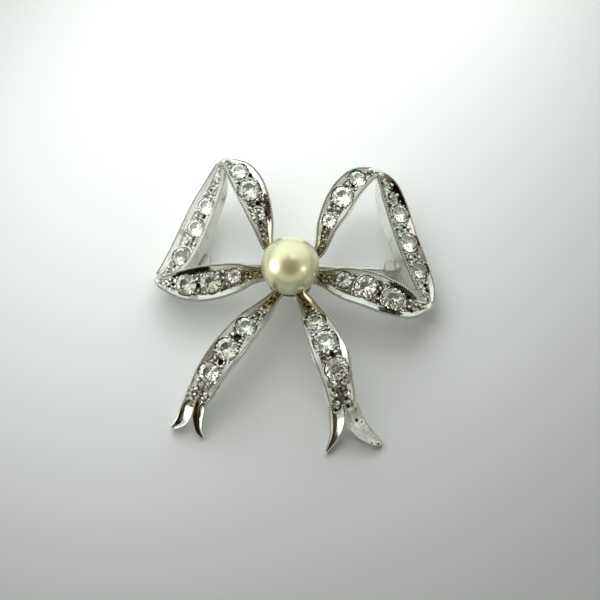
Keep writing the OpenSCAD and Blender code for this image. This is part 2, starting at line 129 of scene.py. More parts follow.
PATHS = {
    "left_upper": stations(
        (-1.7, 2.3, 5.1, 1.5), (-3.3, 4.0, 5.7, 1.7), (-4.2, 6.6, 7.0, 3.0),
        (-5.2, 8.9, 7.9, 3.9), (-6.4, 11.3, 8.2, 4.2), (-7.9, 13.6, 7.9, 3.6, 0, -15),
        (-9.7, 15.2, 7.2, 2.1, 0, -40)),
    "right_upper": stations(
        (1.9, 2.4, 5.1, 1.5), (3.6, 4.1, 5.7, 1.7), (4.3, 6.9, 7.0, 2.8),
        (5.4, 9.5, 7.9, 3.7), (6.6, 11.9, 8.2, 3.7), (8.1, 13.8, 7.9, 3.2),
        (10.0, 15.2, 7.2, 1.6, 0, 15)),
    "left_outer": stations(
        (-10.5, 15.2, 6.3, 1.4, 8), (-11.2, 12.4, 5.9, 3.0, 20), (-12.2, 9.6, 5.4, 3.9, 22),
        (-13.1, 6.9, 4.8, 4.3, 22), (-14.1, 4.0, 4.3, 4.3, 21), (-15.3, 1.4, 3.9, 3.9, 20),
        (-16.9, -0.8, 3.6, 2.3, 12)),
    "right_outer": stations(
        (10.8, 15.2, 6.3, 1.4, -15), (12.0, 13.9, 5.9, 3.1, -25), (13.2, 11.3, 5.4, 3.8, -28),
        (14.7, 7.5, 4.8, 3.8, -30), (16.3, 3.9, 4.2, 3.7, -28), (17.7, 0.7, 3.7, 2.9, -22),
        (18.2, -1.4, 3.5, 1.8, -12)),
    "left_lower": stations(
        (-2.2, 0.4, 5.1, 1.6, -10), (-4.8, -0.2, 5.4, 2.4, -20), (-6.8, -0.9, 5.8, 3.8, -23),
        (-9.9, -1.9, 6.0, 4.6, -23), (-13.2, -2.2, 5.3, 4.3, -23), (-16.2, -1.8, 4.4, 2.3, -18),
        (-17.5, -1.2, 4.0, 1.0, -10)),
    "right_lower": stations(
        (2.2, 0.4, 5.1, 1.6, 10), (4.4, 0.0, 5.4, 2.4, 20), (6.9, -0.6, 5.8, 4.1, 23),
        (10.1, -1.3, 6.0, 4.7, 23), (13.2, -2.1, 5.5, 4.5, 23), (15.9, -2.7, 4.8, 3.4, 20),
        (17.9, -2.3, 4.2, 1.5, 12)),
    "left_tail": stations(
        (-1.2, -2.1, 5.1, 1.4), (-2.1, -3.4, 5.4, 1.8), (-3.5, -5.8, 6.3, 3.0),
        (-4.8, -7.7, 7.0, 3.6), (-7.0, -11.1, 7.2, 3.9), (-9.0, -14.2, 6.0, 3.7),
        (-10.2, -16.4, 4.2, 3.3)),
    "right_tail": stations(
        (1.3, -2.1, 5.1, 1.6), (2.4, -3.7, 5.4, 2.3), (3.9, -6.8, 6.8, 3.9),
        (5.1, -9.2, 7.6, 4.4), (6.1, -11.4, 7.7, 4.6), (7.2, -14.2, 6.1, 3.9),
        (8.0, -16.6, 4.1, 3.5)),
}
print("each of the", len(PATHS), "strips has", len(PATHS["left_tail"]), "stations")

# %% [markdown]
# ## Walking along a path
# Between two stations the strip follows a smooth curve through all of them. The same sum gives
# its width and its bank there. Three axes then say which way is across, ahead and out of the face.

# %% Between the stations
# How far ahead and behind, in stations, a strip's direction is taken from
STEP = 0.05
# How many places are tried to measure a path's length, and how far apart its rings then are
PATH_SAMPLES = 600
RING_GAP = 0.075


def unit(v):
    return v / np.linalg.norm(v, axis=-1, keepdims=True)


def between(rows, t):
    """The rows at the places t along a path, counted in stations."""
    t = np.atleast_1d(np.asarray(t, float))
    last = len(rows) - 1
    i = np.clip(np.floor(t).astype(int), 0, last - 1)
    f = (t - i)[:, None]
    before, a = rows[np.maximum(i - 1, 0)], rows[i]
    b, after = rows[i + 1], rows[np.minimum(i + 2, last)]
    bend = (2 * before - 5 * a + 4 * b - after) * f**2 + (3 * a - before - 3 * b + after) * f**3
    return (2 * a + (b - before) * f + bend) / 2


def axes(rows, t):
    """Unit vectors across to the left, ahead, and out of the face, at the places t."""
    t = np.atleast_1d(np.asarray(t, float))
    here = between(rows, t)
    ahead = unit(between(rows, t + STEP)[:, :3] - between(rows, t - STEP)[:, :3])
    level = unit(np.cross((0, 0, 1), ahead))
    rise = np.cross(ahead, level)
    bank, mitre = np.radians(here[:, 4:5]), np.radians(here[:, 5:6])
    mitred = level * np.cos(mitre) + np.cross(rise, level) * np.sin(mitre)
    across = mitred * np.cos(bank) + rise * np.sin(bank)
    return across, ahead, rise * np.cos(bank) - mitred * np.sin(bank)


def run_along(line):
    """How far along a line of points each of them lies."""
    steps = np.linalg.norm(np.diff(line, axis=0), axis=1)
    return np.concatenate([[0], np.cumsum(steps)])


def evenly(rows):
    """Places along a path for rings that lie about the same distance apart."""
    fine = np.linspace(0, len(rows) - 1, PATH_SAMPLES)
    run = run_along(between(rows, fine)[:, :3])
    return np.interp(np.linspace(0, run[-1], round(run[-1] / RING_GAP)), run, fine)


def laid(rows, t, v, n):
    """The points of sections that reach v across and n out of the face, at the places t."""
    across, _, face = axes(rows, t)
    middle = between(rows, t)[:, None, :3]
    return middle + v[..., None] * across[:, None] + n[..., None] * face[:, None]


print("the left tail is cut into", len(evenly(PATHS["left_tail"])), "rings")

# %% [markdown]
# ## Where the stones, grains and holes are
# Each stone lies in a drilled seat, and a setter raises small grains of metal to hold it. Where a
# strip has room to spare, larger grains fill it, and some holes were drilled for grains that were
# never raised. All of them were charted from the real brooch. A place is counted in
# stations along the strip, and then in millimetres to the left of its middle.

# %% Chart of the stones, as (place, left, diameter)
STONES = {
    "left_upper": [(2.4, 0.2, 1.8), (3.8, 0.2, 3.0), (5.0, 0.1, 2.3)],
    "right_upper": [(2.2, 0, 1.8), (3.5, 0, 2.8), (4.9, 0.1, 2.3)],
    "left_outer": [(2.1, 0.2, 2.5), (3.2, 0.1, 2.6), (4.6, 0, 2.6)],
    "right_outer": [(2.3, 0.5, 2.5), (3.3, 0.3, 2.7), (4.3, 0.3, 2.4)],
    "left_lower": [(2.1, -0.2, 1.8), (3.1, 0, 2.8), (4.1, 0, 2.8)],
    "right_lower": [(2.0, 0.4, 2.1), (2.9, 0.2, 2.8), (4.1, 0, 2.8)],
    "left_tail": [(3.1, 0, 2.7), (4.05, 0, 3.0), (5.05, -0.2, 2.6)],
    "right_tail": [(1.85, 0, 2.7), (3.05, 0, 3.2), (4.55, 0.2, 2.9)],
}
# Grains between the stones, as (place, left, diameter)
GRAINS = {
    "left_upper": [
        (4.45, 1.2, 0.7), (4.3, -0.1, 0.7), (2.85, 1.0, 0.65), (2.6, 0, 0.65), (3.1, -1.0, 0.6),
        (5.5, 0.5, 0.5), (1.7, 0.3, 0.4), (5.5, -0.6, 0.5)],
    "right_upper": [
        (4.2, 0.5, 0.65), (4.3, -0.9, 0.6), (2.7, 0.8, 0.7), (2.85, -0.3, 0.65), (2.6, -0.8, 0.5),
        (5.5, 0.4, 0.5), (1.7, 0, 0.4)],
    "left_outer": [
        (1.55, -0.7, 0.75), (1.2, 0.3, 0.5), (2.65, -0.6, 0.6), (3.3, -1.4, 0.6), (3.9, -0.3, 0.7),
        (3.85, 1.0, 0.65), (5.3, 0.4, 0.55), (5.3, -0.6, 0.5)],
    "right_outer": [
        (1.0, 0.8, 0.6), (1.55, 1.0, 0.6), (1.6, -0.2, 0.6), (2.8, 1.1, 0.7), (2.75, -0.7, 0.6),
        (3.8, -0.4, 0.65), (3.85, 1.0, 0.6), (5.0, -0.6, 0.6), (4.85, 0.6, 0.55)],
    "left_lower": [
        (2.55, -1.1, 0.6), (2.6, -0.3, 0.6), (2.5, 0.6, 0.55), (3.6, -0.6, 0.75), (3.6, 0.9, 0.6),
        (4.75, 0.7, 0.5), (4.8, -0.5, 0.55), (1.5, 0.2, 0.4)],
    "right_lower": [
        (2.35, 0.9, 0.6), (2.45, -0.5, 0.6), (3.45, 0.6, 0.7), (3.5, -0.7, 0.6), (3.5, 1.4, 0.5),
        (4.9, 0.6, 0.6), (4.95, -0.2, 0.6), (5.3, 0.2, 0.55), (1.5, 0.3, 0.4)],
    "left_tail": [
        (2.25, -0.3, 0.5), (2.55, 0.3, 0.45), (2.6, -0.5, 0.45), (3.55, -0.7, 0.65),
        (3.6, 0.7, 0.6), (4.5, -0.5, 0.65), (4.6, 0.8, 0.55), (5.5, -0.9, 0.7), (5.45, 0.5, 0.7)],
    "right_tail": [
        (1.25, 0.4, 0.5), (1.25, -0.5, 0.5), (2.4, 1.2, 0.6), (2.45, -1.0, 0.6), (3.8, -0.3, 0.65),
        (3.85, 0.7, 0.6), (5.05, -0.7, 1.15), (5.1, 0.75, 1.1), (5.45, -0.7, 1.1),
        (5.5, 0.75, 1.1), (5.82, -0.7, 1.05), (5.87, 0.65, 1.0)],
}
# Drilled holes that hold nothing, as (place, left, diameter)
HOLES = {
    "left_upper": [(4.55, -0.9, 0.55), (3.0, -0.2, 0.6), (4.7, 0.6, 0.3), (2.0, 0.2, 0.4)],
    "right_upper": [(4.4, -0.2, 0.5), (3.0, 0.6, 0.4), (1.9, 0.3, 0.35)],
    "left_outer": [(2.6, 0.5, 0.55), (3.7, 0.4, 0.45), (3.9, 0.4, 0.35), (1.3, -0.3, 0.4),
                   (5.15, 0, 0.4), (5.5, -0.2, 0.3)],
    "right_outer": [(1.3, 0.6, 0.4), (2.75, 0.4, 0.45), (3.8, 0.4, 0.4), (4.95, 0.2, 0.5),
                    (5.2, 0.3, 0.4)],
    "left_lower": [(2.65, 0.1, 0.4), (3.6, 0.2, 0.6), (4.65, 0.1, 0.45), (1.7, -0.2, 0.3)],
    "right_lower": [(2.5, 0.2, 0.4), (3.5, -0.1, 0.45), (4.75, 1.0, 0.4), (5.1, -0.7, 0.35)],
    "left_tail": [(3.55, 0.1, 0.95), (4.5, 0.3, 0.7), (2.0, 0, 0.35)],
    "right_tail": [(1.1, 0.1, 0.4), (2.45, 0.3, 0.5), (3.95, 0.2, 0.6), (5.3, 0.1, 0.35)],
}
# Black streaks on the slopes, painted dark reflections of the room, as (from, to, side, strength),
# where side 1 is the left slope
STREAKS = {
    "left_upper": [(1.9, 3.4, -1, 1.0)],
    "right_upper": [(4.4, 5.1, 1, 0.3)],
    "left_outer": [(3.4, 3.7, -1, 0.4)],
    "right_outer": [(0.8, 2.3, 1, 1.0), (3.3, 4.2, 1, 0.6)],
    "left_lower": [(2.9, 4.8, -1, 1.0), (3.6, 4.0, 1, 0.4)],
    "right_lower": [(3.6, 5.4, 1, 0.9), (3.6, 4.8, -1, 0.9), (0.6, 1.4, -1, 0.7)],
    "left_tail": [(4.9, 5.7, 1, 0.3)],
    "right_tail": [(4.5, 5.2, 1, 0.5)],
}
# Stretches of the slopes painted dimmer, partly dull metal and partly a painted darker reflection,
# counted in the same way
DULL_AND_DIMMED = {
    "left_upper": [(0, 2.4, -1, 0.3), (2.6, 3.7, -1, 0.35), (2.2, 4.6, 1, 0.25)],
    "right_upper": [(0, 2.4, -1, 0.35)],
    "left_outer": [(1.4, 2.0, -1, 0.2), (4.5, 5.2, -1, 0.2), (5.2, 5.9, 1, 0.5)],
    "right_outer": [(0.3, 2.8, 1, 0.25), (2.9, 4.4, 1, 0.3), (2.9, 4.2, -1, 0.35)],
    "left_lower": [(0.5, 2.2, 1, 0.45), (3.6, 4.6, 1, 0.25)],
    "right_lower": [(0.4, 1.6, -1, 0.3), (4.7, 6, -1, 0.2)],
    "left_tail": [(1.6, 3.6, 1, 0.4), (1.2, 3.2, -1, 0.4)],
    "right_tail": [(1.2, 3.2, 1, 0.4), (1.4, 2.8, -1, 0.35)],
}
# Strips whose polish has worn matt; the chalky white of the left outer one is partly painted glare
MATT_AND_GLARE = {"left_outer": 1.0}
# Green spots, where copper has come through the plating, as (place, left, size)
GREEN = {"left_upper": [(5.7, 0.1, 0.35)], "right_upper": [(5.0, 1.2, 0.45), (5.9, 0.1, 0.4)]}
# Spots of rust and old wax, as (place, left, size)
RUST = {
    "right_outer": [(2.45, 1.7, 0.3), (1.75, 0, 0.3)],
    "right_tail": [(3.95, -0.9, 0.4)],
    "left_tail": [(2.35, -1.3, 0.3)],
    "left_lower": [(2.3, 0.5, 0.35)],
    "right_lower": [(3.4, 1.4, 0.3)],
}
print(sum(map(len, STONES.values())), "stones,", sum(map(len, GRAINS.values())), "larger grains")

# %% [markdown]
# ## The cross-section of a strip
# Seen on end, a strip is a shallow channel. Its outer walls lean in a little, its rims carry the
# milled beads, a bright-cut slope leads down inside each rim, and the floor between them is
# sunken. One ring of points goes once round this section, and it is worked out for every width,
# so that the strip can swell and taper while its rims keep their own width.

# %% Sizes of the section, in millimetres
RIM_W = 0.29
SLOPE_W = 0.7
FLOOR_SINK = 0.45
WALL_DRAFT = 0.15
# How far below the rim the slope begins
SLOPE_START = 0.03
# Depth of the walls at most, and how it grows with the width where a piece is narrow
WALL_DEPTH = 2.0
THIN_DEPTH = 0.35
DEPTH_GAIN = 0.45
# The width from which on the floor is sunken in full
FULL_W = 3
# Points on each wall with its rim, on each slope, and from one side of the floor to the other
WALL_POINTS = 11
SLOPE_COLUMNS = 8
FLOOR_COLUMNS = 38


def wall_depth(wide):
    """Depth of the side walls of a strip or a point."""
    return np.minimum(WALL_DEPTH, THIN_DEPTH + DEPTH_GAIN * wide)


def for_each_width(ring, h):
    """A section's places across and heights, as two arrays with one row for each width."""
    return tuple(np.array([value + 0 * h for value in line]).T for line in zip(*ring))


def channel(wide):
    """Places across the strip and above its face, once round its section, for each width."""
    h = wide / 2
    rim = np.minimum(RIM_W, 0.3 * h)
    slope = np.minimum(SLOPE_W, 0.5 * (h - rim))
    sink = FLOOR_SINK * np.minimum(1, wide / FULL_W)
    deep = wall_depth(wide)
    foot = h - WALL_DRAFT
    # From the back round the wall, past a fine groove under the rim, to the rim's inner edge
    side = [
        (0.35 * foot, -deep), (foot - 0.12, -deep), (foot, 0.1 - deep), (foot + 0.05, -0.6 * deep),
        (h - 0.05, -0.32), (h - 0.03, -0.24), (h - 0.09, -0.19), (h - 0.02, -0.13),
        (h, -0.1), (h - 0.04, -0.07), (h - rim + 0.04, -0.07),
    ]
    for k in range(SLOPE_COLUMNS):
        share = k / SLOPE_COLUMNS
        side.append((h - rim - slope * share, -SLOPE_START - (sink - SLOPE_START) * share))
    floor_h = h - rim - slope
    floor = [(floor_h * (1 - 2 * k / FLOOR_COLUMNS), -sink) for k in range(FLOOR_COLUMNS + 1)]
    ring = side + floor + [(-v, n) for v, n in reversed(side)]
    return for_each_width(ring, h)


across_mm, above_mm = channel(np.array([4.0]))
print("a section has", across_mm.shape[1], "points and is", round(-above_mm.min(), 2), "mm deep")

# %% [markdown]
# ## Rolling a sheet into a strip
# In Blender this starts as a flat grid. Its columns are laid round the section and its rows along
# the path, the seam where the first and last columns meet is merged, and the two open ends are
# filled. That gives one closed solid with even faces, which later presses and holes can use.

# %% From a flat grid to a closed strip
# Distance in metres under which two corners are one
SEAM = 1e-8


def deselect():
    """Nothing stays selected, because an operator acts on all that is."""
    bpy.ops.object.select_all(action="DESELECT")


def named(name):
    """Names the object that was added last, and its mesh."""
    piece = bpy.context.object
    piece.name = name
    piece.data.name = name
    return piece


def shape(*steps):
    """Runs the given steps in edit mode on what is selected in the active object."""
    bpy.ops.object.mode_set(mode="EDIT")
    for step in steps:
        step()
    bpy.ops.object.mode_set(mode="OBJECT")


def everything():
    """A step that selects all that the active object has."""
    bpy.ops.mesh.select_all(action="SELECT")


def merge_seams(reach=SEAM):
    """A step that makes one corner of those which lie in the same place."""
    bpy.ops.mesh.remove_doubles(threshold=reach)


def close_ends():
    """A step that fills every open end with one face."""
    bpy.ops.mesh.fill_holes(sides=0)


def face_outwards():
    """A step that turns all selected faces outwards."""
    bpy.ops.mesh.normals_make_consistent(inside=False)


def rolled(name, points, marks):
    """A closed solid from a grid laid on points[ring, column], with a value of each mark there."""
    rings, columns = points.shape[:2]
    deselect()
    bpy.ops.mesh.primitive_grid_add(x_subdivisions=columns, y_subdivisions=rings - 1, size=1)
    piece = named(name)
    count = len(piece.data.vertices)
    flat = np.zeros(3 * count)
    piece.data.vertices.foreach_get("co", flat)
    flat = flat.reshape(-1, 3) + 0.5
    ring = np.rint(flat[:, 1] * (rings - 1)).astype(int)
    column = np.rint(flat[:, 0] * columns).astype(int) % columns
    piece.data.vertices.foreach_set("co", ((points[ring, column] + KNOT) * MM).ravel())
    for mark, values in marks.items():
        layer = piece.data.attributes.new(mark, "FLOAT", "POINT")
        layer.data.foreach_set("value", values[ring, column])
    shape(everything, merge_seams, close_ends, everything, face_outwards)
    return piece


print("corners nearer than", SEAM, "m are merged")

# %% [markdown]
# ## Pressing the seats and holes
# The floor isn't flat. Round each stone it is cut away as a cone with a raised collar, and each
# empty hole is a small round pit. The points of the grid that fall next to such an edge are first
# slid onto it, so that the edge is a clean circle and not a row of steps. The same sums give the
# tarnish, which sits where no polishing cloth reaches, and the painted shade on the floor round
# each grain.

# %% Seats, holes and the graver's marks
# How far a stone's girdle lies below the rims, the room round it, and the cone under it
GIRDLE_DROP = 0.35
SEAT_GAP = 0.05
SEAT_DROP = 0.08
SEAT_SLOPE = 0.8
# Height and width of the collar round a seat, and how high above the girdle it can be raised
COLLAR = 0.1
COLLAR_W = 0.12
COLLAR_REACH = 0.1
HOLE_DEPTH = 0.5
# How near to an edge a point is slid onto it, and how far above and below a seat it is pressed
SNAP = 0.6 * RING_GAP
REACH_UP = 1
REACH_DOWN = 1.5
# A graver's marks are a sum of short waves in all directions, with lengths in millimetres
WAVES = 16
WAVE_LENGTHS = (0.3, 0.8)
hand = np.random.default_rng(5)
CUT_WAVES = unit(hand.normal(size=(WAVES, 3))) * 2 * math.pi / hand.uniform(*WAVE_LENGTHS, (WAVES, 1))
CUT_SHIFTS = hand.uniform(0, 2 * math.pi, WAVES)


def spot(rows, at, left, drop):
    """A place on a strip, its face's direction and the direction ahead, from the chart."""
    across, ahead, face = (a[0] for a in axes(rows, at))
    return between(rows, at)[0, :3] + left * across - drop * face, face, ahead


def polar(points, centre, face):
    """Distance from a seat's axis, height over its centre, and the direction away from it."""
    offset = points - centre
    height = offset @ face
    flat = offset - height[..., None] * face
    r = np.linalg.norm(flat, axis=-1)
    return r, height, flat / np.maximum(r, 1e-6)[..., None]


def graver(points):
    """The uneven marks of a graver at each point, mostly from -0.6 to 0.6."""
    return 3 * np.cos(points @ CUT_WAVES.T + CUT_SHIFTS).mean(axis=-1)


def press(points, top, centre, face, radius, profile):
    """Slides the nearest points onto a circle, and presses those inside it down to a profile."""
    r, height, outwards = polar(points, centre, face)
    near = top & (abs(r - radius) < SNAP) & (abs(height) < REACH_UP)
    points += np.where(near, radius - r, 0)[..., None] * outwards
    inside = top & (r < radius) & ~near & (height > -REACH_DOWN) & (height < REACH_UP)
    sunk = np.minimum(height, profile(r))
    points += np.where(inside, sunk - height, 0)[..., None] * face
    return r


def cone(radius):
    """The profile of a drilled seat: its height at each distance from its axis."""
    return lambda r: -SEAT_DROP - SEAT_SLOPE * (radius - r)


def pit(radius):
    """The profile of an empty hole, which is round at its bottom."""
    return lambda r: -HOLE_DEPTH * np.sqrt(np.maximum(1 - (r / radius) ** 2, 0))


print("the graver's marks are a sum of", len(CUT_SHIFTS), "waves")

# %% Soft steps and spots
# How far below the rims the middle of a spot lies
SPOT_DROP = 0.3


def soft_step(t, at, soft=0.15):
    """0 before a place along a strip and 1 behind it, with a soft step between."""
    share = np.clip((t - at) / (2 * soft) + 0.5, 0, 1)
    return share * share * (3 - 2 * share)


def spots(points, rows, chart):
    """Soft round spots from a chart, 1 in their middles."""
    shade = np.zeros(points.shape[:2])
    for at, left, size in chart:
        centre = spot(rows, at, left, SPOT_DROP)[0]
        shade += np.exp(-((np.linalg.norm(points - centre, axis=-1) / size) ** 4))
    return np.clip(shade, 0, 1)


def inwards_of(columns):
    """How many columns each one lies from the middle of the back, on its own side."""
    column = np.arange(columns)
    return np.minimum(column, column[::-1])


def slope_of(columns, side):
    """Which columns lie on the slope of one side, where side 1 is the left."""
    inwards = inwards_of(columns)
    on_slope = (inwards >= WALL_POINTS) & (inwards < WALL_POINTS + SLOPE_COLUMNS)
    return on_slope & ((np.arange(columns) < columns / 2) == (side > 0))


print("a slope is", slope_of(across_mm.shape[1], 1).sum(), "columns wide")

# %% Tarnish and painted shade of a strip
# Tarnish of the floor, how strongly the graver's marks show in it, tarnish of the slopes and their
# feet, and the painted shade of the rims
FLOOR_TARNISH = 0.55
MARKS_SHOW = 0.7
SLOPE_TARNISH = 0.1
FOOT_TARNISH = 0.85
RIM_SHADE = 0.65
# How many columns of a rim are painted dark under its beads, as painted shade in the gaps between them
RIM_COLUMNS = 2
# Streaks: half width and raggedness as shares of the slope, taper, sharpness, and how far down
# their middle lies
STREAK_HALF = 0.85
STREAK_RAGGED = 0.25
STREAK_TAPER = 0.6
STREAK_EDGE = 4
STREAK_DOWN = 0.42
# Half the length, in stations, over which a dull stretch fades in and out
DULL_FADE = 0.5


def worn(marks):
    """Tarnish of a floor, its slopes and their feet, and painted shade on its rims under the beads,
    before any stone is set.
    """
    inwards = inwards_of(marks.shape[1])
    floor = inwards >= WALL_POINTS + SLOPE_COLUMNS
    on_rim = (inwards >= WALL_POINTS - RIM_COLUMNS) & (inwards < WALL_POINTS)
    on_slope = (inwards >= WALL_POINTS) & ~floor
    foot = abs(inwards - WALL_POINTS - SLOPE_COLUMNS + 0.5) < 1
    tarnish = np.where(floor, np.clip(FLOOR_TARNISH - MARKS_SHOW * marks, 0, 1), 0.0)
    tarnish = np.where(on_slope, SLOPE_TARNISH, tarnish)
    tarnish = np.where(foot, FOOT_TARNISH, tarnish)
    return np.where(on_rim, RIM_SHADE, tarnish)


def streaks(name, t, marks):
    """Painted dark reflections: black streaks on the slopes of a strip, with ragged edges and thin ends.
    """
    columns = marks.shape[1]
    down = (inwards_of(columns) - WALL_POINTS + 0.5) / SLOPE_COLUMNS
    shade = np.zeros(marks.shape)
    for start, stop, side, strength in STREAKS[name]:
        swell = np.sin(math.pi * np.clip((t - start) / (stop - start), 0, 1))[:, None]
        half = (STREAK_HALF + STREAK_RAGGED * marks) * swell**STREAK_TAPER
        cover = np.clip(STREAK_EDGE * (half - abs(down - STREAK_DOWN)), 0, 1)
        shade = np.maximum(shade, strength * cover * slope_of(columns, side))
    return shade


def dulled_and_dimmed(name, t, tarnish):
    """Adds dimmer stretches to the slopes of a strip, partly dull metal and partly painted darker
    reflection.
    """
    for start, stop, side, strength in DULL_AND_DIMMED[name]:
        along = soft_step(t, start, DULL_FADE) * (1 - soft_step(t, stop, DULL_FADE))
        patch = strength * along[:, None] * slope_of(tarnish.shape[1], side)
        tarnish = np.maximum(tarnish, patch)
    return tarnish


print("streaks are charted on", len(STREAKS), "strips and dull stretches on", len(DULL_AND_DIMMED))

# %% Stones' seats, empty holes and the painted shade round the grains
# Tarnish of a seat, and of the ring round it that the collar fills, with that ring's width
SEAT_TARNISH = 0.25
COLLAR_TARNISH = 0.1
COLLAR_SHOWS = 0.2
# Half width of the black line at a seat's edge, and how far the black of a hole goes past its own
SEAT_EDGE = 0.08
HOLE_EDGE = 0.03
# Painted shade on the floor round a grain: how dark it is in the middle, and how wide as a share of the
# grain
GRAIN_SHADE = 1.3
GRAIN_SHADE_W = 0.75


def pressed(name, points, tarnish):
    """Presses the seats and holes of a strip into its points, and gives their tarnish and the painted
    shade round its grains.
    """
    rows = PATHS[name]
    inwards = inwards_of(points.shape[1])
    floor = inwards >= WALL_POINTS + SLOPE_COLUMNS
    top = np.broadcast_to(inwards >= WALL_POINTS - 1, tarnish.shape)
    for at, left, dia in STONES[name]:
        centre, out, _ = spot(rows, at, left, GIRDLE_DROP)
        radius = dia / 2 + SEAT_GAP
        r, height, _ = polar(points, centre, out)
        lift = COLLAR * np.exp(-(((r - radius) / COLLAR_W) ** 2)) * (r > radius - RING_GAP)
        points += np.where(top & (height < COLLAR_REACH), lift, 0)[..., None] * out
        r = press(points, top, centre, out, radius, cone(radius))
        on_collar = (r > radius) & (r < radius + COLLAR_SHOWS)
        tarnish = np.where(top & on_collar, COLLAR_TARNISH, tarnish)
        tarnish = np.where(top & (r < radius), SEAT_TARNISH, tarnish)
        tarnish = np.where(top & (abs(r - radius) < SEAT_EDGE), 1, tarnish)
    for at, left, dia in HOLES[name]:
        centre, out, _ = spot(rows, at, left, FLOOR_SINK)
        radius = dia / 2
        r = press(points, top, centre, out, radius, pit(radius))
        tarnish = np.maximum(tarnish, np.where(top & (r < radius + HOLE_EDGE), 1, 0))
    # The floor round each grain is painted dark, as painted shade
    for at, left, dia in GRAINS[name]:
        centre, out, _ = spot(rows, at, left, FLOOR_SINK)
        r, _, _ = polar(points, centre, out)
        dirt_and_shade = GRAIN_SHADE - (r / (GRAIN_SHADE_W * dia)) ** 2
        tarnish = np.maximum(tarnish, np.where(floor, dirt_and_shade, 0))
    return tarnish


print("each seat has a collar", COLLAR, "mm high")

# %% The eight strips
# Depth of the graver's marks on the floor
GRAVER_DEPTH = 0.05
# How far a tail's end drops away under its points, and how many stations before the end it is
# half way down
END_DROP = 0.4
END_FROM = 0.1
# Place up to which the plating has worn yellow, and over how many stations that fades
WARM_TO = 2.5
WARM_FADE = 1.5


def strip_points(name):
    """The points of one strip, pressed, and what its finish needs to know at each of them."""
    rows = PATHS[name]
    t = evenly(rows)
    v, n = channel(between(rows, t)[:, 3])
    if name.endswith("tail"):
        n = n - END_DROP * soft_step(t, len(rows) - 1 - END_FROM, END_FROM)[:, None]
    points = laid(rows, t, v, n)
    floor = inwards_of(points.shape[1]) >= WALL_POINTS + SLOPE_COLUMNS
    marks = graver(points)
    face = axes(rows, t)[2]
    points += np.where(floor, GRAVER_DEPTH * marks, 0)[..., None] * face[:, None]
    tarnish = pressed(name, points, dulled_and_dimmed(name, t, worn(marks)))
    root = 0 if name.endswith("outer") else np.clip((WARM_TO - t) / WARM_FADE, 0, 1)[:, None]
    return points, {
        "tarnish": np.clip(tarnish, 0, 1),
        "shade": streaks(name, t, marks),
        "matt": MATT_AND_GLARE.get(name, 0) + 0 * v,
        "warmth": root + 0 * v,
        "across": v,
        "along": RING_GAP * np.arange(len(t))[:, None] + 0 * v,
        "verdigris": spots(points, rows, GREEN.get(name, [])),
        "rust": spots(points, rows, RUST.get(name, [])),
    }


strips = {}
for name in PATHS:
    points, marks = strip_points(name)
    strips[name] = rolled("strip_" + name, points, marks)
print("each strip has about", len(strips["left_tail"].data.polygons), "faces")

# %% [markdown]
# ## Open backs
# Behind every stone the metal is drilled through, to let light in. A cylinder for each stone is
# set on the stone's own axis, the three are joined, and a Boolean modifier takes them away.

# %% Drilling through the backs
# A drill's width as a share of the stone's, its length, and how far below the girdle its middle is
HOLE_SHARE = 0.45
DRILL_L = 3
DRILL_DOWN = 1.85
DRILL_SIDES = 24


def choose(*pieces):
    """Selects nothing but the given pieces, and makes the last one active."""
    deselect()
    for piece in pieces:
        piece.select_set(True)
    bpy.context.view_layer.objects.active = pieces[-1]


def modified(piece, kind, **settings):
    """Adds one modifier to a piece and applies it."""
    choose(piece)
    modifier = piece.modifiers.new(kind.lower(), kind)
    for setting, value in settings.items():
        setattr(modifier, setting, value)
    bpy.ops.object.modifier_apply(modifier=modifier.name)


def aligned(face, ahead):
    """The turn that points +Z out of a strip's face and +Y ahead."""
    side = np.cross(ahead, face)
    return Matrix((side, ahead, face)).transposed().to_euler()


def drill_backs(name):
    """Takes the three back holes out of a strip."""
    drills = []
    for at, left, dia in STONES[name]:
        centre, face, ahead = spot(PATHS[name], at, left, GIRDLE_DROP)
        middle = Vector((centre - DRILL_DOWN * face + KNOT) * MM)
        deselect()
        bpy.ops.mesh.primitive_cylinder_add(
            vertices=DRILL_SIDES, radius=HOLE_SHARE * dia / 2 * MM, depth=DRILL_L * MM,
            location=middle, rotation=aligned(face, ahead))
        drills.append(named("drill"))
    choose(*drills)
    bpy.ops.object.join()
    drill = drills[-1]
    modified(strips[name], "BOOLEAN", operation="DIFFERENCE", solver="EXACT", object=drill)
    bpy.data.objects.remove(drill)


for name in strips:
    drill_backs(name)
print("the left tail has", len(strips["left_tail"].data.polygons), "faces after drilling")

# %% [markdown]
# ## Beads, modelled once
# The milled edge is a row of tiny beads, and the grains are larger ones. There are well over a
# thousand, so each kind is modelled once with few faces and then strewn: one piece is joined from
# copies at the places, sizes and directions that the strip gives.

# %% A bead, and pieces joined from many of them
# Painted shade on a bead's lower side: how dark it is at middle height, how quickly it grows below,
# and the lit side that stays bright
UNDERSIDE_SHADE = 0.4
UNDERSIDE_SHADE_SPREAD = 2.2
LIT_SIDE = unit(np.array([0, 0.5, 0.87]))


def bead_pattern(segments, rings, flatness):
    """Corners and triangles of a bead of radius 1, squashed by flatness along its own height."""
    deselect()
    bpy.ops.mesh.primitive_uv_sphere_add(segments=segments, ring_count=rings, radius=1)
    bead = bpy.context.object
    shape(
        everything,
        lambda: bpy.ops.mesh.quads_convert_to_tris(),
        lambda: bpy.ops.transform.resize(value=(1, 1, flatness)),
    )
    corners = np.array([v.co[:] for v in bead.data.vertices])
    faces = np.array([p.vertices[:] for p in bead.data.polygons])
    bpy.data.objects.remove(bead)
    return corners, faces


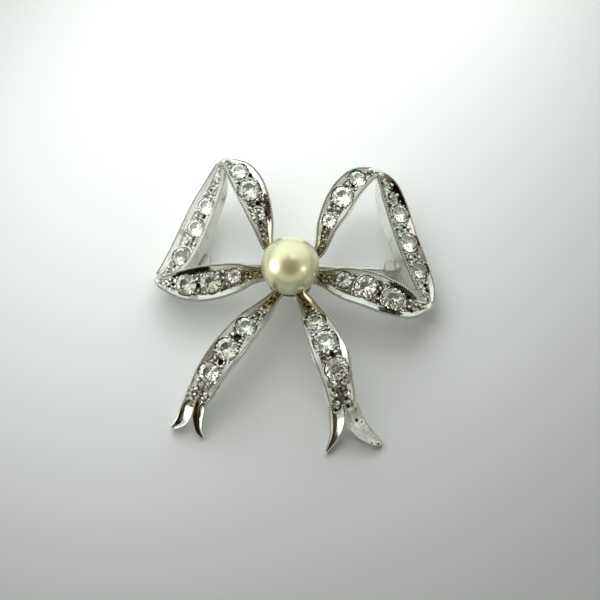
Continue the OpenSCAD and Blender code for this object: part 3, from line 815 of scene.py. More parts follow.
def strewn(name, pattern, places, sizes, turns, smooth=True):
    """One mesh of copies of a pattern. A turn is a copy's across, ahead and up axes."""
    corners, faces = pattern
    spread = np.einsum("cvk,ckj->cvj", corners[None] * np.array(sizes)[:, None], np.array(turns))
    # Each copy is painted darker on its lower side, as painted shade
    height = spread @ LIT_SIDE / np.mean(sizes, axis=1)[:, None]
    dirt_and_shade = np.clip(UNDERSIDE_SHADE - UNDERSIDE_SHADE_SPREAD * height, 0, 1)
    points = ((np.array(places)[:, None] + spread + KNOT) * MM).reshape(-1, 3)
    first = len(corners) * np.arange(len(places))[:, None, None]
    mesh = bpy.data.meshes.new(name)
    mesh.from_pydata(points.tolist(), [], (faces[None] + first).reshape(-1, 3).tolist())
    if smooth:
        mesh.shade_smooth()
    mesh.attributes.new("tarnish", "FLOAT", "POINT").data.foreach_set("value", dirt_and_shade.ravel())
    piece = bpy.data.objects.new(name, mesh)
    bpy.context.collection.objects.link(piece)
    return piece


MILL_BEAD = bead_pattern(8, 5, 1)
GRAIN = bead_pattern(6, 4, 0.85)
print("a milled bead has", len(MILL_BEAD[1]), "faces and a grain", len(GRAIN[1]))

# %% [markdown]
# ## The milled edges
# A knurled wheel is rolled along each rim and leaves a row of beads. The rim's own length decides
# how many fit, so the beads stay evenly spaced round every bend.

# %% Rows of beads along the rims
# Distance from bead to bead, a bead's half size across, along and up, and how far inside the
# strip's edge its middle lies
MILL_PITCH = 0.31
MILL_BEAD_SIZE = (0.13, 0.105, 0.11)
MILL_INSET = 0.13
# How many places are tried to measure a rim's length
RIM_SAMPLES = 900


def edge_places(rows, side):
    """Evenly spaced places along one rim, with their stations."""
    fine = np.linspace(0, len(rows) - 1, RIM_SAMPLES)
    here = between(rows, fine)
    across = axes(rows, fine)[0]
    line = here[:, :3] + side * (here[:, 3:4] / 2 - MILL_INSET) * across
    run = run_along(line)
    beads = np.linspace(0, run[-1], round(run[-1] / MILL_PITCH))
    t = np.interp(beads, run, fine)
    return np.stack([np.interp(beads, run, line[:, k]) for k in range(3)], axis=1), t


def milled(name, rows, sides=(1, -1), from_t=0.0):
    """The beads on the rims of a strip."""
    places, turns = [], []
    for side in sides:
        found, t = edge_places(rows, side)
        keep = t > from_t
        places.append(found[keep])
        turns.append(np.stack(axes(rows, t[keep]), axis=1))
    places, turns = np.concatenate(places), np.concatenate(turns)
    return strewn(name, MILL_BEAD, places, [MILL_BEAD_SIZE] * len(places), turns)


beaded = {name: milled("milled_edge_" + name, rows) for name, rows in PATHS.items()}
beads = len(beaded["left_tail"].data.vertices) // len(MILL_BEAD[0])
print("the left tail's rims carry", beads, "beads")

# %% [markdown]
# ## Grains that hold the stones
# Four small grains lie over the edge of each stone, between its neighbours. The larger ones from
# the chart stand on the floor. A real setter raises each of them by hand, so they differ a little
# in size and lean, with a seeded generator that gives the same brooch on every run.

# %% Grains of each strip
# The grains that hold a stone: how many, their diameter, how far out and up they stand, and how
# far round, in radians, they may be off
GRIPS = 4
GRIP_D = 0.38
GRIP_OUT = 0.1
GRIP_UP = 0.06
GRIP_STRAY = 0.2
# How far a grain leans, and its least and largest size across, along and up
GRAIN_LEAN = 0.25
GRAIN_SIZES = ((0.85, 0.85, 0.7), (1.15, 1.15, 1.1))
# How far a charted grain stands out of the floor, as a share of its diameter
GRAIN_RISE = 0.12
# Small grains: the least and largest (place, share of the way out, diameter), how many are tried,
# how far apart they keep, and how clear they stay of what is charted and of the slopes
SMALL_GRAINS = ((1.1, -1, 0.3), (5.8, 1, 0.46))
SMALL_TRIES = 120
SMALL_GAP = 0.5
SMALL_CLEAR = 0.36
SMALL_MARGIN = 0.35
chance = np.random.default_rng(11)


def small_grains(name):
    """Small grains that fill what room the stones and the charted grains leave on the floor."""
    rows = PATHS[name]
    taken = []
    for at, left, dia in STONES[name] + GRAINS[name] + HOLES[name]:
        taken.append((spot(rows, at, left, FLOOR_SINK)[0], dia / 2 + SMALL_CLEAR))
    found = []
    for at, share, dia in chance.uniform(*SMALL_GRAINS, (SMALL_TRIES, 3)):
        left = share * (between(rows, at)[0, 3] / 2 - RIM_W - SMALL_MARGIN)
        place = spot(rows, at, left, FLOOR_SINK)[0]
        if all(np.linalg.norm(place - other) > reach for other, reach in taken):
            taken.append((place, SMALL_GAP))
            found.append((at, left, dia))
    return found


def raised_grain(place, face, ahead, dia):
    """One grain as its place, its size along three axes and the axes, leaning a little."""
    lean = unit(face + chance.uniform(-GRAIN_LEAN, GRAIN_LEAN, 3))
    forward = unit(ahead + chance.uniform(-1, 1, 3))
    side = unit(np.cross(forward, lean))
    size = dia / 2 * chance.uniform(*GRAIN_SIZES)
    return place, size, (side, np.cross(lean, side), lean)


def grips(name):
    """The grains that hold the stones of one strip."""
    made = []
    for at, left, dia in STONES[name]:
        centre, face, ahead = spot(PATHS[name], at, left, GIRDLE_DROP)
        side = np.cross(ahead, face)
        for k in range(GRIPS):
            stray = chance.uniform(-GRIP_STRAY, GRIP_STRAY)
            angle = (k + 0.5) * 2 * math.pi / GRIPS + stray
            out = math.cos(angle) * side + math.sin(angle) * ahead
            place = centre + (dia / 2 + GRIP_OUT) * out + GRIP_UP * face
            made.append(raised_grain(place, face, ahead, GRIP_D))
    return made


def charted_grains(rows, chart, drop=FLOOR_SINK, rise=GRAIN_RISE):
    """The grains of a chart, which stand on a strip's floor."""
    made = []
    for at, left, dia in chart:
        place, face, ahead = spot(rows, at, left, drop)
        made.append(raised_grain(place + rise * dia * face, face, ahead, dia))
    return made


def joined_grains(name, made):
    """One piece of all the given grains."""
    return strewn("grains_" + name, GRAIN, *zip(*made), smooth=False)


grains = {}
for name, rows in PATHS.items():
    held = grips(name)
    standing = charted_grains(rows, GRAINS[name] + small_grains(name))
    grains[name] = joined_grains(name, held + standing)
print("the right tail has", len(grains["right_tail"].data.vertices) // len(GRAIN[0]), "grains")

# %% [markdown]
# ## The split ends
# Each tail ends in two points, like a swallow's tail. A point has no floor: a groove is gouged
# down it, and one of its facets is painted dark, as a painted dark reflection, beside the bright
# other one. Only the outer one on the right is nearly flat. A point grows out of the tail's floor,
# and its path goes on through its own stations. The first stations lie under the tail, so that no
# gap shows where the two meet.

# %% Points of the tails
POINT_STATIONS = {
    "left_tail": [
        ((-10.0, -17.5, 3.3, 1.7), (-10.2, -18.5, 2.5, 1.6), (-10.2, -19.5, 1.8, 1.3),
         (-10.0, -20.4, 1.2, 1.0), (-9.5, -21.1, 0.6, 0.45)),
        ((-11.5, -17.5, 3.3, 1.6), (-11.85, -18.6, 2.5, 1.9), (-12.4, -19.4, 1.8, 1.6),
         (-13.1, -19.9, 1.2, 1.0), (-13.7, -20.2, 0.6, 0.35)),
    ],
    "right_tail": [
        ((9.1, -16.7, 3.7, 2.0), (9.6, -18.0, 2.7, 2.5), (10.7, -19.0, 1.8, 2.4),
         (11.9, -19.7, 1.2, 1.8), (12.8, -20.0, 0.8, 1.3), (13.3, -20.1, 0.6, 0.5)),
        ((7.1, -16.9, 3.7, 1.9), (7.4, -18.1, 2.7, 2.1), (7.3, -19.5, 1.8, 1.6),
         (6.9, -20.7, 1.1, 1.0), (6.3, -21.8, 0.6, 0.45)),
    ],
}
# Each point's groove in the same order: its depth, its place as a share of the half width to the
# left, how dark its right facet is painted, as a painted dark reflection, and from which share of
# the way down, how dark its rims are painted, as painted shade under the milled beads, and how
# matt it is
GROOVES = {
    "left_tail": ((0.5, -0.2, 1.0, 0.0, 0.9, 0), (0.45, -0.4, 0.9, 0.0, 0.1, 0)),
    "right_tail": ((0.06, 0, 0, 0, 1.0, 0.6), (0.45, 0.05, 0.9, 0.35, 1.0, 0.1)),
}
# Painted shade: dark hollows under the last grains, and small dark pits and facets near the tips,
# as (x, y, size)
SHADED_PITS = [
    (7.08, -17.0, 0.26), (8.68, -16.45, 0.22), (9.86, -17.92, 0.19), (10.53, -17.99, 0.11),
    (8.6, -17.07, 0.1), (9.6, -16.75, 0.1), (12.85, -20.35, 0.2), (12.0, -20.35, 0.13),
    (6.7, -21.6, 0.22),
]
# Grains where the tails' floors run on into the points, as (place, left, diameter)
POINT_GRAINS = {
    "left_point_left": [(1.0, 0, 0.7), (1.3, 0.15, 0.65), (1.6, -0.1, 0.65), (1.9, 0.1, 0.55)],
    "left_point_right": [(1.05, 0.1, 0.7), (1.4, 0.25, 0.65), (1.75, 0, 0.6)],
}
# Rims with a milled edge, where side 1 is the left, and the place from which on it runs
POINT_EDGES = {
    "right_point_left": (1, -1), "right_point_right": (1, -1), "left_point_left": (1,),
}
EDGE_FROM = 1.1
print("charted", len(SHADED_PITS), "pits and", sum(map(len, POINT_GRAINS.values())), "grains")

# %% A point's section and path
# Places under the tail where a point begins, each with how far below the face it lies, and how
# much wider than half the tail the point is there
ROOTS = ((5.3, 0.75), (5.85, 0.03))
ROOT_W = 0.02
# Points on each wall with its rim, and on each facet of the groove
POINT_WALLS = 8
POINT_SLOPES = 10
# Width of a rim at most, and the step from it to the groove
POINT_RIM_W = 0.18
POINT_STEP = 0.02
# How steep the outer and the inner facet begin, so that together they look like the tail's floor
OUTER_STEEP = 1.2
INNER_STEEP = 4
# Where the groove begins, as the middle and the half length of a soft step
GOUGE = (2.15, 0.3)
# How near to the table a point may come
ABOVE_TABLE = 0.02


def point_rows(tail, side, ends):
    """Stations of one point, from under the tail's floor to its tip."""
    rows = []
    for at, drop in ROOTS:
        row = between(tail, at)[0]
        across, _, face = (a[0] for a in axes(tail, at))
        place = row[:3] + side * row[3] / 4 * across - drop * face
        rows.append((*place, row[3] / 2 + ROOT_W))
    return stations(*rows, *ends)


def gouged(wide, groove, shift, steep_left, steep_right):
    """Once round a point's section: leaning walls, two rims and one groove."""
    h = wide / 2
    rim = np.minimum(POINT_RIM_W, 0.4 * h)
    deep = wall_depth(wide)
    deepest = np.minimum(groove, wide / 3)
    wall = [
        (0.35 * h, -deep), (0.75 * h, 0.04 - deep), (0.8 * h, 0.12 - deep), (0.93 * h, -0.5 * deep),
        (h - 0.01, -0.3 * deep), (h, -0.1), (h - 0.04, -0.07), (h - rim + 0.03, -0.07),
    ]

    def facet(side, steep):
        """From one rim down to the groove's deepest line."""
        made = []
        for k in range(POINT_SLOPES):
            share = k / POINT_SLOPES
            down = np.minimum(1, share * steep)
            place = side * (h - rim) * (1 - share) + shift * h * share
            made.append((place, -POINT_STEP - (deepest - POINT_STEP) * down))
        return made

    ring = wall + facet(1, steep_left) + [(shift * h, -deepest)]
    ring += facet(-1, steep_right)[::-1] + [(-v, n) for v, n in reversed(wall)]
    return for_each_width(ring, h)


def point_shape(rows, side, groove, shift):
    """The points of one split end, with their places along it and across it."""
    t = evenly(rows)
    gouge = soft_step(t, *GOUGE)
    depth = FLOOR_SINK * (1 - gouge) + groove * gouge
    outer = 1 + (OUTER_STEEP - 1) * (1 - gouge)
    inner = 1 + (INNER_STEEP - 1) * (1 - gouge)
    steep = (outer, inner) if side > 0 else (inner, outer)
    v, n = gouged(between(rows, t)[:, 3], depth, shift * gouge, *steep)
    points = laid(rows, t, v, n)
    points[..., 2] = np.maximum(points[..., 2], ABOVE_TABLE)
    return points, t, v


print("a point's section has", 2 * (POINT_WALLS + POINT_SLOPES) + 1, "points")

# %% Finish of the points
# Where the painted dark reflection on the right facet begins and where the floor's dirt ends, as the
# middle and half length of a step
DARK_FACET_FROM = (2.0, 0.4)
DIRT_TO = (2.1, 0.3)
POINT_TARNISH = 0.4
# How far the painted dark facet is tinted reddish brown
FACET_BROWN = 0.22
# Mottling of a matt point: how dark it is, and how it follows the graver's marks
MOTTLE = 0.42
MOTTLE_BASE = 0.3
MOTTLE_MARKS = 1.5
# How dark a pit's painted shade is in its middle, where 1 is already black
PIT_SHADE = 1.7


def point_marks(points, t, v, dark, dark_from, edge, matt):
    """Painted dark reflection, tinted brown, on the right facet, dirt of the floor, and painted shade
    under the milled edges and in the pits.
    """
    columns = points.shape[1]
    inwards = inwards_of(columns)
    down = (inwards - POINT_WALLS + 0.5) / POINT_SLOPES
    facet = (down > dark_from) & (np.arange(columns) > columns / 2)
    # The right facet is painted dark, as a painted dark reflection
    facet_marks = dark * facet * soft_step(t, *DARK_FACET_FROM)[:, None]
    in_groove = inwards >= POINT_WALLS
    on_rim = (inwards >= POINT_WALLS - RIM_COLUMNS) & ~in_groove
    floor = in_groove * (1 - soft_step(t, *DIRT_TO))[:, None]
    marks = graver(points)
    mottle = MOTTLE * matt * np.clip(MOTTLE_BASE - MOTTLE_MARKS * marks, 0, 1)
    tarnish = floor * np.clip(POINT_TARNISH - MARKS_SHOW * marks, 0, 1)
    # Rims under the milled beads are painted dark, as painted shade in the gaps between the beads
    tarnish = np.where(on_rim, edge, np.maximum(tarnish, mottle))
    shade = facet_marks
    # Each pit is painted dark on the groove, as painted shade
    for x, y, size in SHADED_PITS:
        r = np.linalg.norm(points[..., :2] - (x, y), axis=-1)
        shade = np.maximum(shade, np.where(in_groove, PIT_SHADE - (r / size) ** 2, 0))
    return {
        "tarnish": np.clip(tarnish, 0, 1),
        "shade": np.clip(shade, 0, 1),
        "rust": FACET_BROWN * facet_marks,
        "matt": matt + 0 * v,
        "across": v,
        "along": RING_GAP * np.arange(len(t))[:, None] + 0 * v,
    }


points_of = {}
point_paths = {}
for name, pair in POINT_STATIONS.items():
    for side, ends, (groove, shift, *facet_marks) in zip((1, -1), pair, GROOVES[name]):
        label = name.replace("tail", "point") + ("_left" if side > 0 else "_right")
        rows = point_rows(PATHS[name], side, ends)
        points, t, v = point_shape(rows, side, groove, shift)
        points_of[label] = rolled(label, points, point_marks(points, t, v, *facet_marks))
        point_paths[label] = rows
print("the points are", sorted(points_of))

# %% Milled edges and grains of the points
# How far below a point's face its grains stand
POINT_GRAIN_SINK = FLOOR_SINK - 0.1
for label, sides in POINT_EDGES.items():
    beaded[label] = milled("milled_edge_" + label, point_paths[label], sides, EDGE_FROM)
for label, chart in POINT_GRAINS.items():
    made = charted_grains(point_paths[label], chart, POINT_GRAIN_SINK, rise=0)
    grains[label] = joined_grains(label, made)
print("points with a milled edge:", sorted(POINT_EDGES))

# %% [markdown]
# ## The folds
# Where one strip turns under the next, the metal is bent round. Each fold is a short round roll
# through three places, closed like a strip.

# %% Four folds, as places and radii
FOLDS = {
    "fold_top_left": stations((-10.7, 15.1, 6.0, 0.5), (-9.9, 15.4, 6.5, 0.5), (-9.2, 15.3, 6.7, 0.5)),
    "fold_top_right": stations((11.2, 15.1, 6.0, 0.5), (10.5, 15.3, 6.5, 0.5), (9.8, 15.2, 6.7, 0.5)),
    "fold_low_left": stations((-17.2, -0.6, 3.1, 0.4), (-17.5, -1.2, 3.5, 0.4), (-16.9, -1.7, 3.8, 0.4)),
    "fold_low_right": stations((18.4, -1.2, 3.0, 0.4), (18.3, -2.0, 3.4, 0.4), (17.6, -2.5, 3.7, 0.4)),
}
FOLD_SIDES = 24
FOLD_RINGS = 33
# A fold narrows to its ends as a sine does: its least value, and the power that makes it blunt
FOLD_END = 0.02
FOLD_BLUNT = 0.35


def fold(name, rows):
    """A round roll through the given places, with rounded ends."""
    share = np.linspace(0, 1, FOLD_RINGS)
    t = share * (len(rows) - 1)
    swell = np.clip(np.sin(math.pi * share), FOLD_END, 1) ** FOLD_BLUNT
    radius = (between(rows, t)[:, 3] * swell)[:, None]
    angle = np.linspace(0, 2 * math.pi, FOLD_SIDES, endpoint=False)
    return rolled(name, laid(rows, t, radius * np.cos(angle), radius * np.sin(angle)), {})


folds = {name: fold(name, rows) for name, rows in FOLDS.items()}
print("folds:", sorted(folds))

# %% [markdown]
# ## The knot
# Under the pearl is a round plate that all the strips are soldered to, with a cup that the pearl
# is glued into. It starts as a cylinder. Its top is inset and pulled up for the cup's wall, inset
# again and pushed down for the hollow, and a Bevel modifier softens every edge.

# %% Knot plate and cup
PLATE_R = 2.9
PLATE_TOP = 5.0
PLATE_T = 1.0
PLATE_SIDES = 72
# How far in front of its middle the plate is cut off straight
PLATE_FRONT = 2.35
# The pearl's radius where it meets the cup's rim, and the cup's wall
CUP_R = 2.3
CUP_WALL = 0.2
# How far inside that radius the cup's outside stands, and how far above the plate its hollow ends
CUP_TUCK = 0.1
CUP_FLOOR = 0.05
KNOT_BEVEL = 0.08


def pick(piece, test):
    """Selects the faces whose middle, in millimetres, and direction pass a test."""
    bpy.ops.object.mode_set(mode="EDIT")
    bpy.ops.mesh.select_mode(type="FACE")
    bpy.ops.mesh.select_all(action="DESELECT")
    bpy.ops.object.mode_set(mode="OBJECT")
    for face in piece.data.polygons:
        face.select = test(face.center / MM, face.normal)


def pulled(height):
    """A step that extrudes the selected faces straight up or down."""
    move = {"value": (0, 0, height * MM), "orient_type": "GLOBAL"}
    return lambda: bpy.ops.mesh.extrude_region_move(TRANSFORM_OT_translate=move)


def inset(wide):
    """A step that insets the selected faces."""
    return lambda: bpy.ops.mesh.inset(thickness=wide * MM)


deselect()
plate_middle = PLATE_TOP - PLATE_T / 2
bpy.ops.mesh.primitive_cylinder_add(
    vertices=PLATE_SIDES, radius=PLATE_R * MM, depth=PLATE_T * MM,
    location=Vector((KNOT + (0, 0, plate_middle)) * MM))
bpy.ops.object.transform_apply(location=True, rotation=True, scale=True)
knot = named("knot")
cup_top = PEARL.z / MM - math.sqrt((PEARL_R / MM) ** 2 - CUP_R**2)
pick(knot, lambda middle, normal: normal.z > 0.9)
shape(
    inset(PLATE_R - CUP_R + CUP_TUCK),
    pulled(cup_top - PLATE_TOP),
    inset(CUP_WALL),
    pulled(PLATE_TOP - cup_top + CUP_FLOOR),
)
modified(knot, "BEVEL", width=KNOT_BEVEL * MM, segments=2, limit_method="ANGLE")
front = (KNOT[1] - PLATE_FRONT) * MM
for corner in knot.data.vertices:
    corner.co.y = max(corner.co.y, front)
print("the cup's rim is", round(cup_top, 2), "mm above the table")

# %% [markdown]
# ## The pearl
# A cultured pearl of this size is nearly a perfect ball, so a fine sphere is the right start. Its
# life is all in its finish, which comes further down.

# %% Pearl
deselect()
bpy.ops.mesh.primitive_uv_sphere_add(segments=96, ring_count=64, radius=PEARL_R, location=PEARL)
bpy.ops.object.transform_apply(location=True, rotation=True, scale=True)
bpy.ops.object.shade_smooth()
pearl = named("pearl_ball")
print("the pearl has", len(pearl.data.polygons), "faces")

# %% [markdown]
# ## Flats for the pin's fittings
# The hinge and the catch need something flat to be soldered to, so a small block fills the corner
# behind each outer ribbon. A wide bevel turns it into a rounded lump, as solder leaves it.

# %% Solder flats
FLAT_SIZE = (1.8, 2.2, 1.1)
FLAT_LOW = 2.6
FLAT_BEVEL = 0.5
FLAT_BEVEL_STEPS = 6
# Place of each flat along the pin, the pin's line and its turn seen from above
FLAT_X = {"solder_flat_left": -13.3, "solder_flat_right": 14.6}
PIN_Y = 3.1
PIN_TURN = math.radians(2.5)
flats = {}
for name, x in FLAT_X.items():
    deselect()
    place = Matrix.Rotation(PIN_TURN, 3, "Z") @ Vector((x, PIN_Y, FLAT_LOW + FLAT_SIZE[2] / 2))
    bpy.ops.mesh.primitive_cube_add(
        size=1, location=(Vector(KNOT) + place) * MM, rotation=(0, 0, PIN_TURN),
        scale=Vector(FLAT_SIZE) * MM)
    bpy.ops.object.transform_apply(location=True, rotation=True, scale=True)
    flats[name] = named(name)
    modified(flats[name], "BEVEL", width=FLAT_BEVEL * MM, segments=FLAT_BEVEL_STEPS)
print("the flats are", FLAT_SIZE[2], "mm thick")

# %% [markdown]
# ## Filed edges on the fittings
# The hinge and the catch were filed by hand and the solder flowed round them, so none of their
# edges is sharp, least of all on the catch. Each frame node is copied and its loose triangles are
# merged. A Remesh modifier then cuts it into small even faces, and a Smooth modifier wears the
# edges round, the more the longer it runs. The copy stands for the node, in the same place.

# %% Filed copies of the hinge and the catch
# How many strokes each one gets, how much a stroke smooths, and the size of the new faces
FILED = {"hinge": 5, "catch": 45}
STROKE = 0.5
FILED_FACE = 0.07
# Distance in metres under which two corners of the loose triangles are one
LOOSE = 1e-7


def filed(name, strokes):
    """A copy of a frame node with its sharp edges worn round."""
    piece = bpy.data.objects.new(name + "_filed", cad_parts[name].data.copy())
    piece.data.name = piece.name
    bpy.context.collection.objects.link(piece)
    choose(piece)
    shape(everything, lambda: merge_seams(LOOSE), face_outwards)
    modified(piece, "REMESH", mode="VOXEL", voxel_size=FILED_FACE * MM)
    modified(piece, "SMOOTH", factor=STROKE, iterations=strokes)
    return piece


fittings = {name: filed(name, strokes) for name, strokes in FILED.items()}
print("filed:", [(piece.name, len(piece.data.polygons)) for piece in fittings.values()])

# %% [markdown]
# ## Shader maths as sums
# A finish is a small sum: so much tarnish here, so much polish there. This class wraps one socket
# of a shader and adds a Math node for each operator, so the sum can be written as one. Every
# other kind of node comes from one method, which takes the node's settings and then its inputs.

# %% A socket that can be used in sums
class Wire:
    """One output of a shader's node, in the tree that it belongs to."""

    def __init__(self, tree, socket=None):
        self.tree = tree
        self.socket = socket

    def node(self, kind, settings, inputs, output=0):
        """Adds a node: first its settings, then the values or wires of its inputs."""
        new = self.tree.nodes.new(kind)
        for setting, value in settings.items():
            setattr(new, setting, value)
        for name, value in inputs.items():
            if isinstance(value, Wire):
                self.tree.links.new(value.socket, new.inputs[name])
            else:
                new.inputs[name].default_value = value
        return Wire(self.tree, new.outputs[output])

    def maths(self, operation, *values, clamp=False):
        settings = {"operation": operation, "use_clamp": clamp}
        return self.node("ShaderNodeMath", settings, dict(enumerate(values)))

    def __add__(self, other):
        return self.maths("ADD", self, other)

    __radd__ = __add__

    def __sub__(self, other):
        return self.maths("SUBTRACT", self, other)

    def __rsub__(self, other):
        return self.maths("SUBTRACT", other, self)

    def __mul__(self, other):
        return self.maths("MULTIPLY", self, other)

    __rmul__ = __mul__

    def __truediv__(self, other):
        return self.maths("DIVIDE", self, other)

    def clamped(self):
        return self.maths("ADD", self, 0, clamp=True)

    def smooth(self, low, high):
        """0 below low, 1 above high, and a smooth step between."""
        return self.node(
            "ShaderNodeMapRange", {"interpolation_type": "SMOOTHSTEP"},
            {"Value": self, "From Min": low, "From Max": high})

    def mixed(self, a, b):
        """Colour a where this is 0, and colour b where it is 1."""
        return self.node("ShaderNodeMix", {"data_type": "RGBA"}, {0: self, 6: a, 7: b}, output=2)


def colour(r, g, b):
    return (r, g, b, 1)


def new_finish(name):
    """A new material, its tree as a wire, its main shader and the place on the piece."""
    finish = bpy.data.materials.new(name)
    finish.use_nodes = True
    tree = Wire(finish.node_tree)
    shader = finish.node_tree.nodes["Principled BSDF"]
    place = tree.node("ShaderNodeTexCoord", {}, {}, output="Object")
    return finish, tree, shader, place


def feed(tree, shader, **values):
    """Sets the shader's sockets, or links wires to them. An underscore stands for a space."""
    for name, value in values.items():
        socket = shader.inputs[name.replace("_", " ")]
        if isinstance(value, Wire):
            tree.tree.links.new(value.socket, socket)
        else:
            socket.default_value = value


def noise(tree, place, size, detail=2.0):
    """Noise from 0 to 1 whose lumps are about as large as size, in millimetres."""
    return tree.node("ShaderNodeTexNoise", {}, {
        "Vector": place, "Scale": 1 / (size * MM), "Detail": detail})


def bump(tree, height, depth, strength=1.0):
    """A bump from a height of 0 to 1, whose full height is depth in millimetres."""
    return tree.node("ShaderNodeBump", {}, {
        "Height": height, "Distance": depth * MM, "Strength": strength})


print("shader maths is ready")

# %% [markdown]
# ## White metal
# The ribbons are a silver alloy, plated bright white. Polished metal has almost no colour of its
# own and shows what is round it, so most of its look comes from the lights. The finish adds what
# the years did: brown-black tarnish in the hollows, a yellow tinge near the knot where the plating
# has worn, places that have gone matt, a little rust and green, and fine scratches from polishing.
# It also paints light and shade: black streaks on the slopes and dark point facets as painted dark
# reflections, dimmer stretches of slope that are partly painted darker reflection, painted shade
# between the milled beads, on the grains' lower sides and on the floor round them, and a chalky
# white that partly stands for glare. All of these were stored on the strips as they were shaped,
# and on a piece that has none of them they simply read as zero.

# %% White metal
# The metal's own colours, and then what lies over them
POLISHED = colour(0.84, 0.85, 0.82)
WORN = colour(0.78, 0.79, 0.75)
CHALKY_AND_GLARE = colour(0.93, 0.95, 0.9)
YELLOWED = colour(0.42, 0.39, 0.24)
LINE_DIRT = colour(0.16, 0.15, 0.10)
TARNISH_AND_SHADE = colour(0.06, 0.051, 0.026)
# The black and brown below are painted shade: dark reflections on the slopes and facets, and the dark of
# the pits
PAINTED_SHADE_BLACK = colour(0.009, 0.007, 0.006)
PAINTED_SHADE_BROWN = colour(0.030, 0.018, 0.013)
RUSTY = colour(0.28, 0.14, 0.04)
VERDIGRIS = colour(0.02, 0.17, 0.04)
# Lumps of the noise in millimetres: clouds in the dirt and painted shade, specks in them, brown places
# in the painted black
CLOUD = 0.8
SPECK = 0.18
BROWN_PLACE = 1.3
# The same for wide and fine scratches
SCRATCH = 0.25
FINE_SCRATCH = 0.06
# Lines of the graver: the same across them, and how much the noise is drawn out along the strip
LINE = 0.16
DRAWN_OUT = 0.06


def stored(tree, mark):
    """A value that was stored on the piece as it was shaped, or 0 where there is none."""
    return tree.node("ShaderNodeAttribute", {"attribute_name": mark}, {}, output="Fac")


def white_metal(name, clean, shine, worn, dull=0.0, gilt=0.0, lined=0.0):
    """Bright plated metal: its roughness, scratches, dirt, yellow tinge and engraved lines."""
    finish, tree, shader, place = new_finish(name)
    cloud = noise(tree, place, CLOUD, 3.0)
    speck = noise(tree, place, SPECK)
    on_strip = tree.node("ShaderNodeCombineXYZ", {}, {
        "X": stored(tree, "across") * MM, "Y": stored(tree, "along") * (DRAWN_OUT * MM)})
    lines = noise(tree, on_strip, LINE)
    warmth = ((stored(tree, "warmth") + gilt) * (0.5 + cloud)).clamped()
    matt = stored(tree, "matt")
    # The stored tarnish is real tarnish, with painted shade under the beads, in the rims and round the
    # grains, and painted darker reflections on some slopes
    soot_and_shade = (stored(tree, "tarnish") + dull) * (1 - 0.2 * matt)
    dirt_and_shade = (soot_and_shade * (0.6 + 0.8 * cloud) * (0.75 + 0.5 * speck)).clamped()
    cut = lined * lines.smooth(0.5, 0.72) * (0.3 + 0.5 * warmth + 0.6 * cloud.smooth(0.45, 0.65))
    # The stored shade is painted shade: dark reflections on the slopes and point facets, and dark pits
    shade = (stored(tree, "shade") * (0.9 + 0.3 * cloud)).clamped()
    green = (stored(tree, "verdigris") * (0.2 + 1.6 * speck)).smooth(0.35, 0.6)
    rust = (stored(tree, "rust") * (0.4 + 1.2 * speck)).clamped()
    brown = noise(tree, place, BROWN_PLACE, 1.0).smooth(0.5, 0.62)
    # The chalky white of matt places is partly painted glare
    base = (0.7 * matt).mixed(clean, CHALKY_AND_GLARE)
    base = warmth.mixed(base, YELLOWED)
    base = cut.clamped().mixed(base, LINE_DIRT)
    base = dirt_and_shade.mixed(base, TARNISH_AND_SHADE)
    base = shade.mixed(base, brown.mixed(PAINTED_SHADE_BLACK, PAINTED_SHADE_BROWN))
    base = (0.8 * rust).mixed(base, RUSTY)
    base = green.mixed(base, VERDIGRIS)
    scratches = 0.6 * noise(tree, place, SCRATCH) + 0.4 * noise(tree, place, FINE_SCRATCH)
    feed(
        tree, shader, Base_Color=base, Metallic=1 - 0.9 * green - 0.6 * matt,
        Roughness=shine + 0.3 * matt + 0.25 * dirt_and_shade + 0.08 * (cloud - 0.5) + 0.3 * green,
        Normal=bump(tree, scratches + lines * (0.4 + 2.0 * warmth) * lined, 0.01, worn))
    return finish


ribbon_metal = white_metal("ribbon_metal", WORN, 0.14, 0.8, lined=1)
bead_metal = white_metal("bead_metal", POLISHED, 0.16, 0.2)
mill_metal = white_metal("mill_metal", POLISHED, 0.34, 0.0)
cup_metal = white_metal("cup_metal", WORN, 0.2, 0.5, dull=0.75, gilt=0.9)
fitting_metal = white_metal("fitting_metal", WORN, 0.3, 0.8, dull=0.35)
print("ribbons and cup:", ribbon_metal.name, cup_metal.name)
print("grains, milled beads and fittings:", bead_metal.name, mill_metal.name, fitting_metal.name)

# %% [markdown]
# ## Drawn wire
# The pin was drawn through a plate, which leaves fine lines along it. The lines are noise that is
# stretched along the stem.

# %% Pin wire
WIRE_PALE = colour(0.8, 0.8, 0.78)
WIRE_GREY = colour(0.66, 0.65, 0.6)


def drawn_wire():
    """Grey metal with fine lines along the pin."""
    finish, tree, shader, place = new_finish("drawn_wire")
    turned_place = tree.node("ShaderNodeMapping", {}, {
        "Vector": place, "Rotation": (0, 0, -PIN_TURN), "Scale": (0.05, 1, 1)})
    lines = noise(tree, turned_place, 0.08)
    cloud = noise(tree, place, 1.5, 3.0)
    feed(
        tree, shader, Base_Color=cloud.mixed(WIRE_PALE, WIRE_GREY), Metallic=1.0,
        Roughness=0.2 + 0.12 * lines, Normal=bump(tree, lines, 0.008))
    return finish


wire_metal = drawn_wire()
print("wire:", wire_metal.name)

# %% [markdown]
# ## Nacre
# A pearl is thousands of thin clear layers over a core. Light goes a little way in, so it glows
# softly, and the top layers mirror the room in a blurred way. A part-metallic base gives that
# deep blurred mirror, a thin clear coat the crisp one, and slow noise the shift between cream,
# green and rose. Low down it is painted with a gold tinge, partly glue and partly a painted
# reflection of the gilt cup.

# %% Nacre
CREAM = colour(0.80, 0.77, 0.50)
GREENISH = colour(0.76, 0.80, 0.53)
ROSE = colour(0.82, 0.74, 0.52)
GOLD = colour(0.74, 0.58, 0.28)
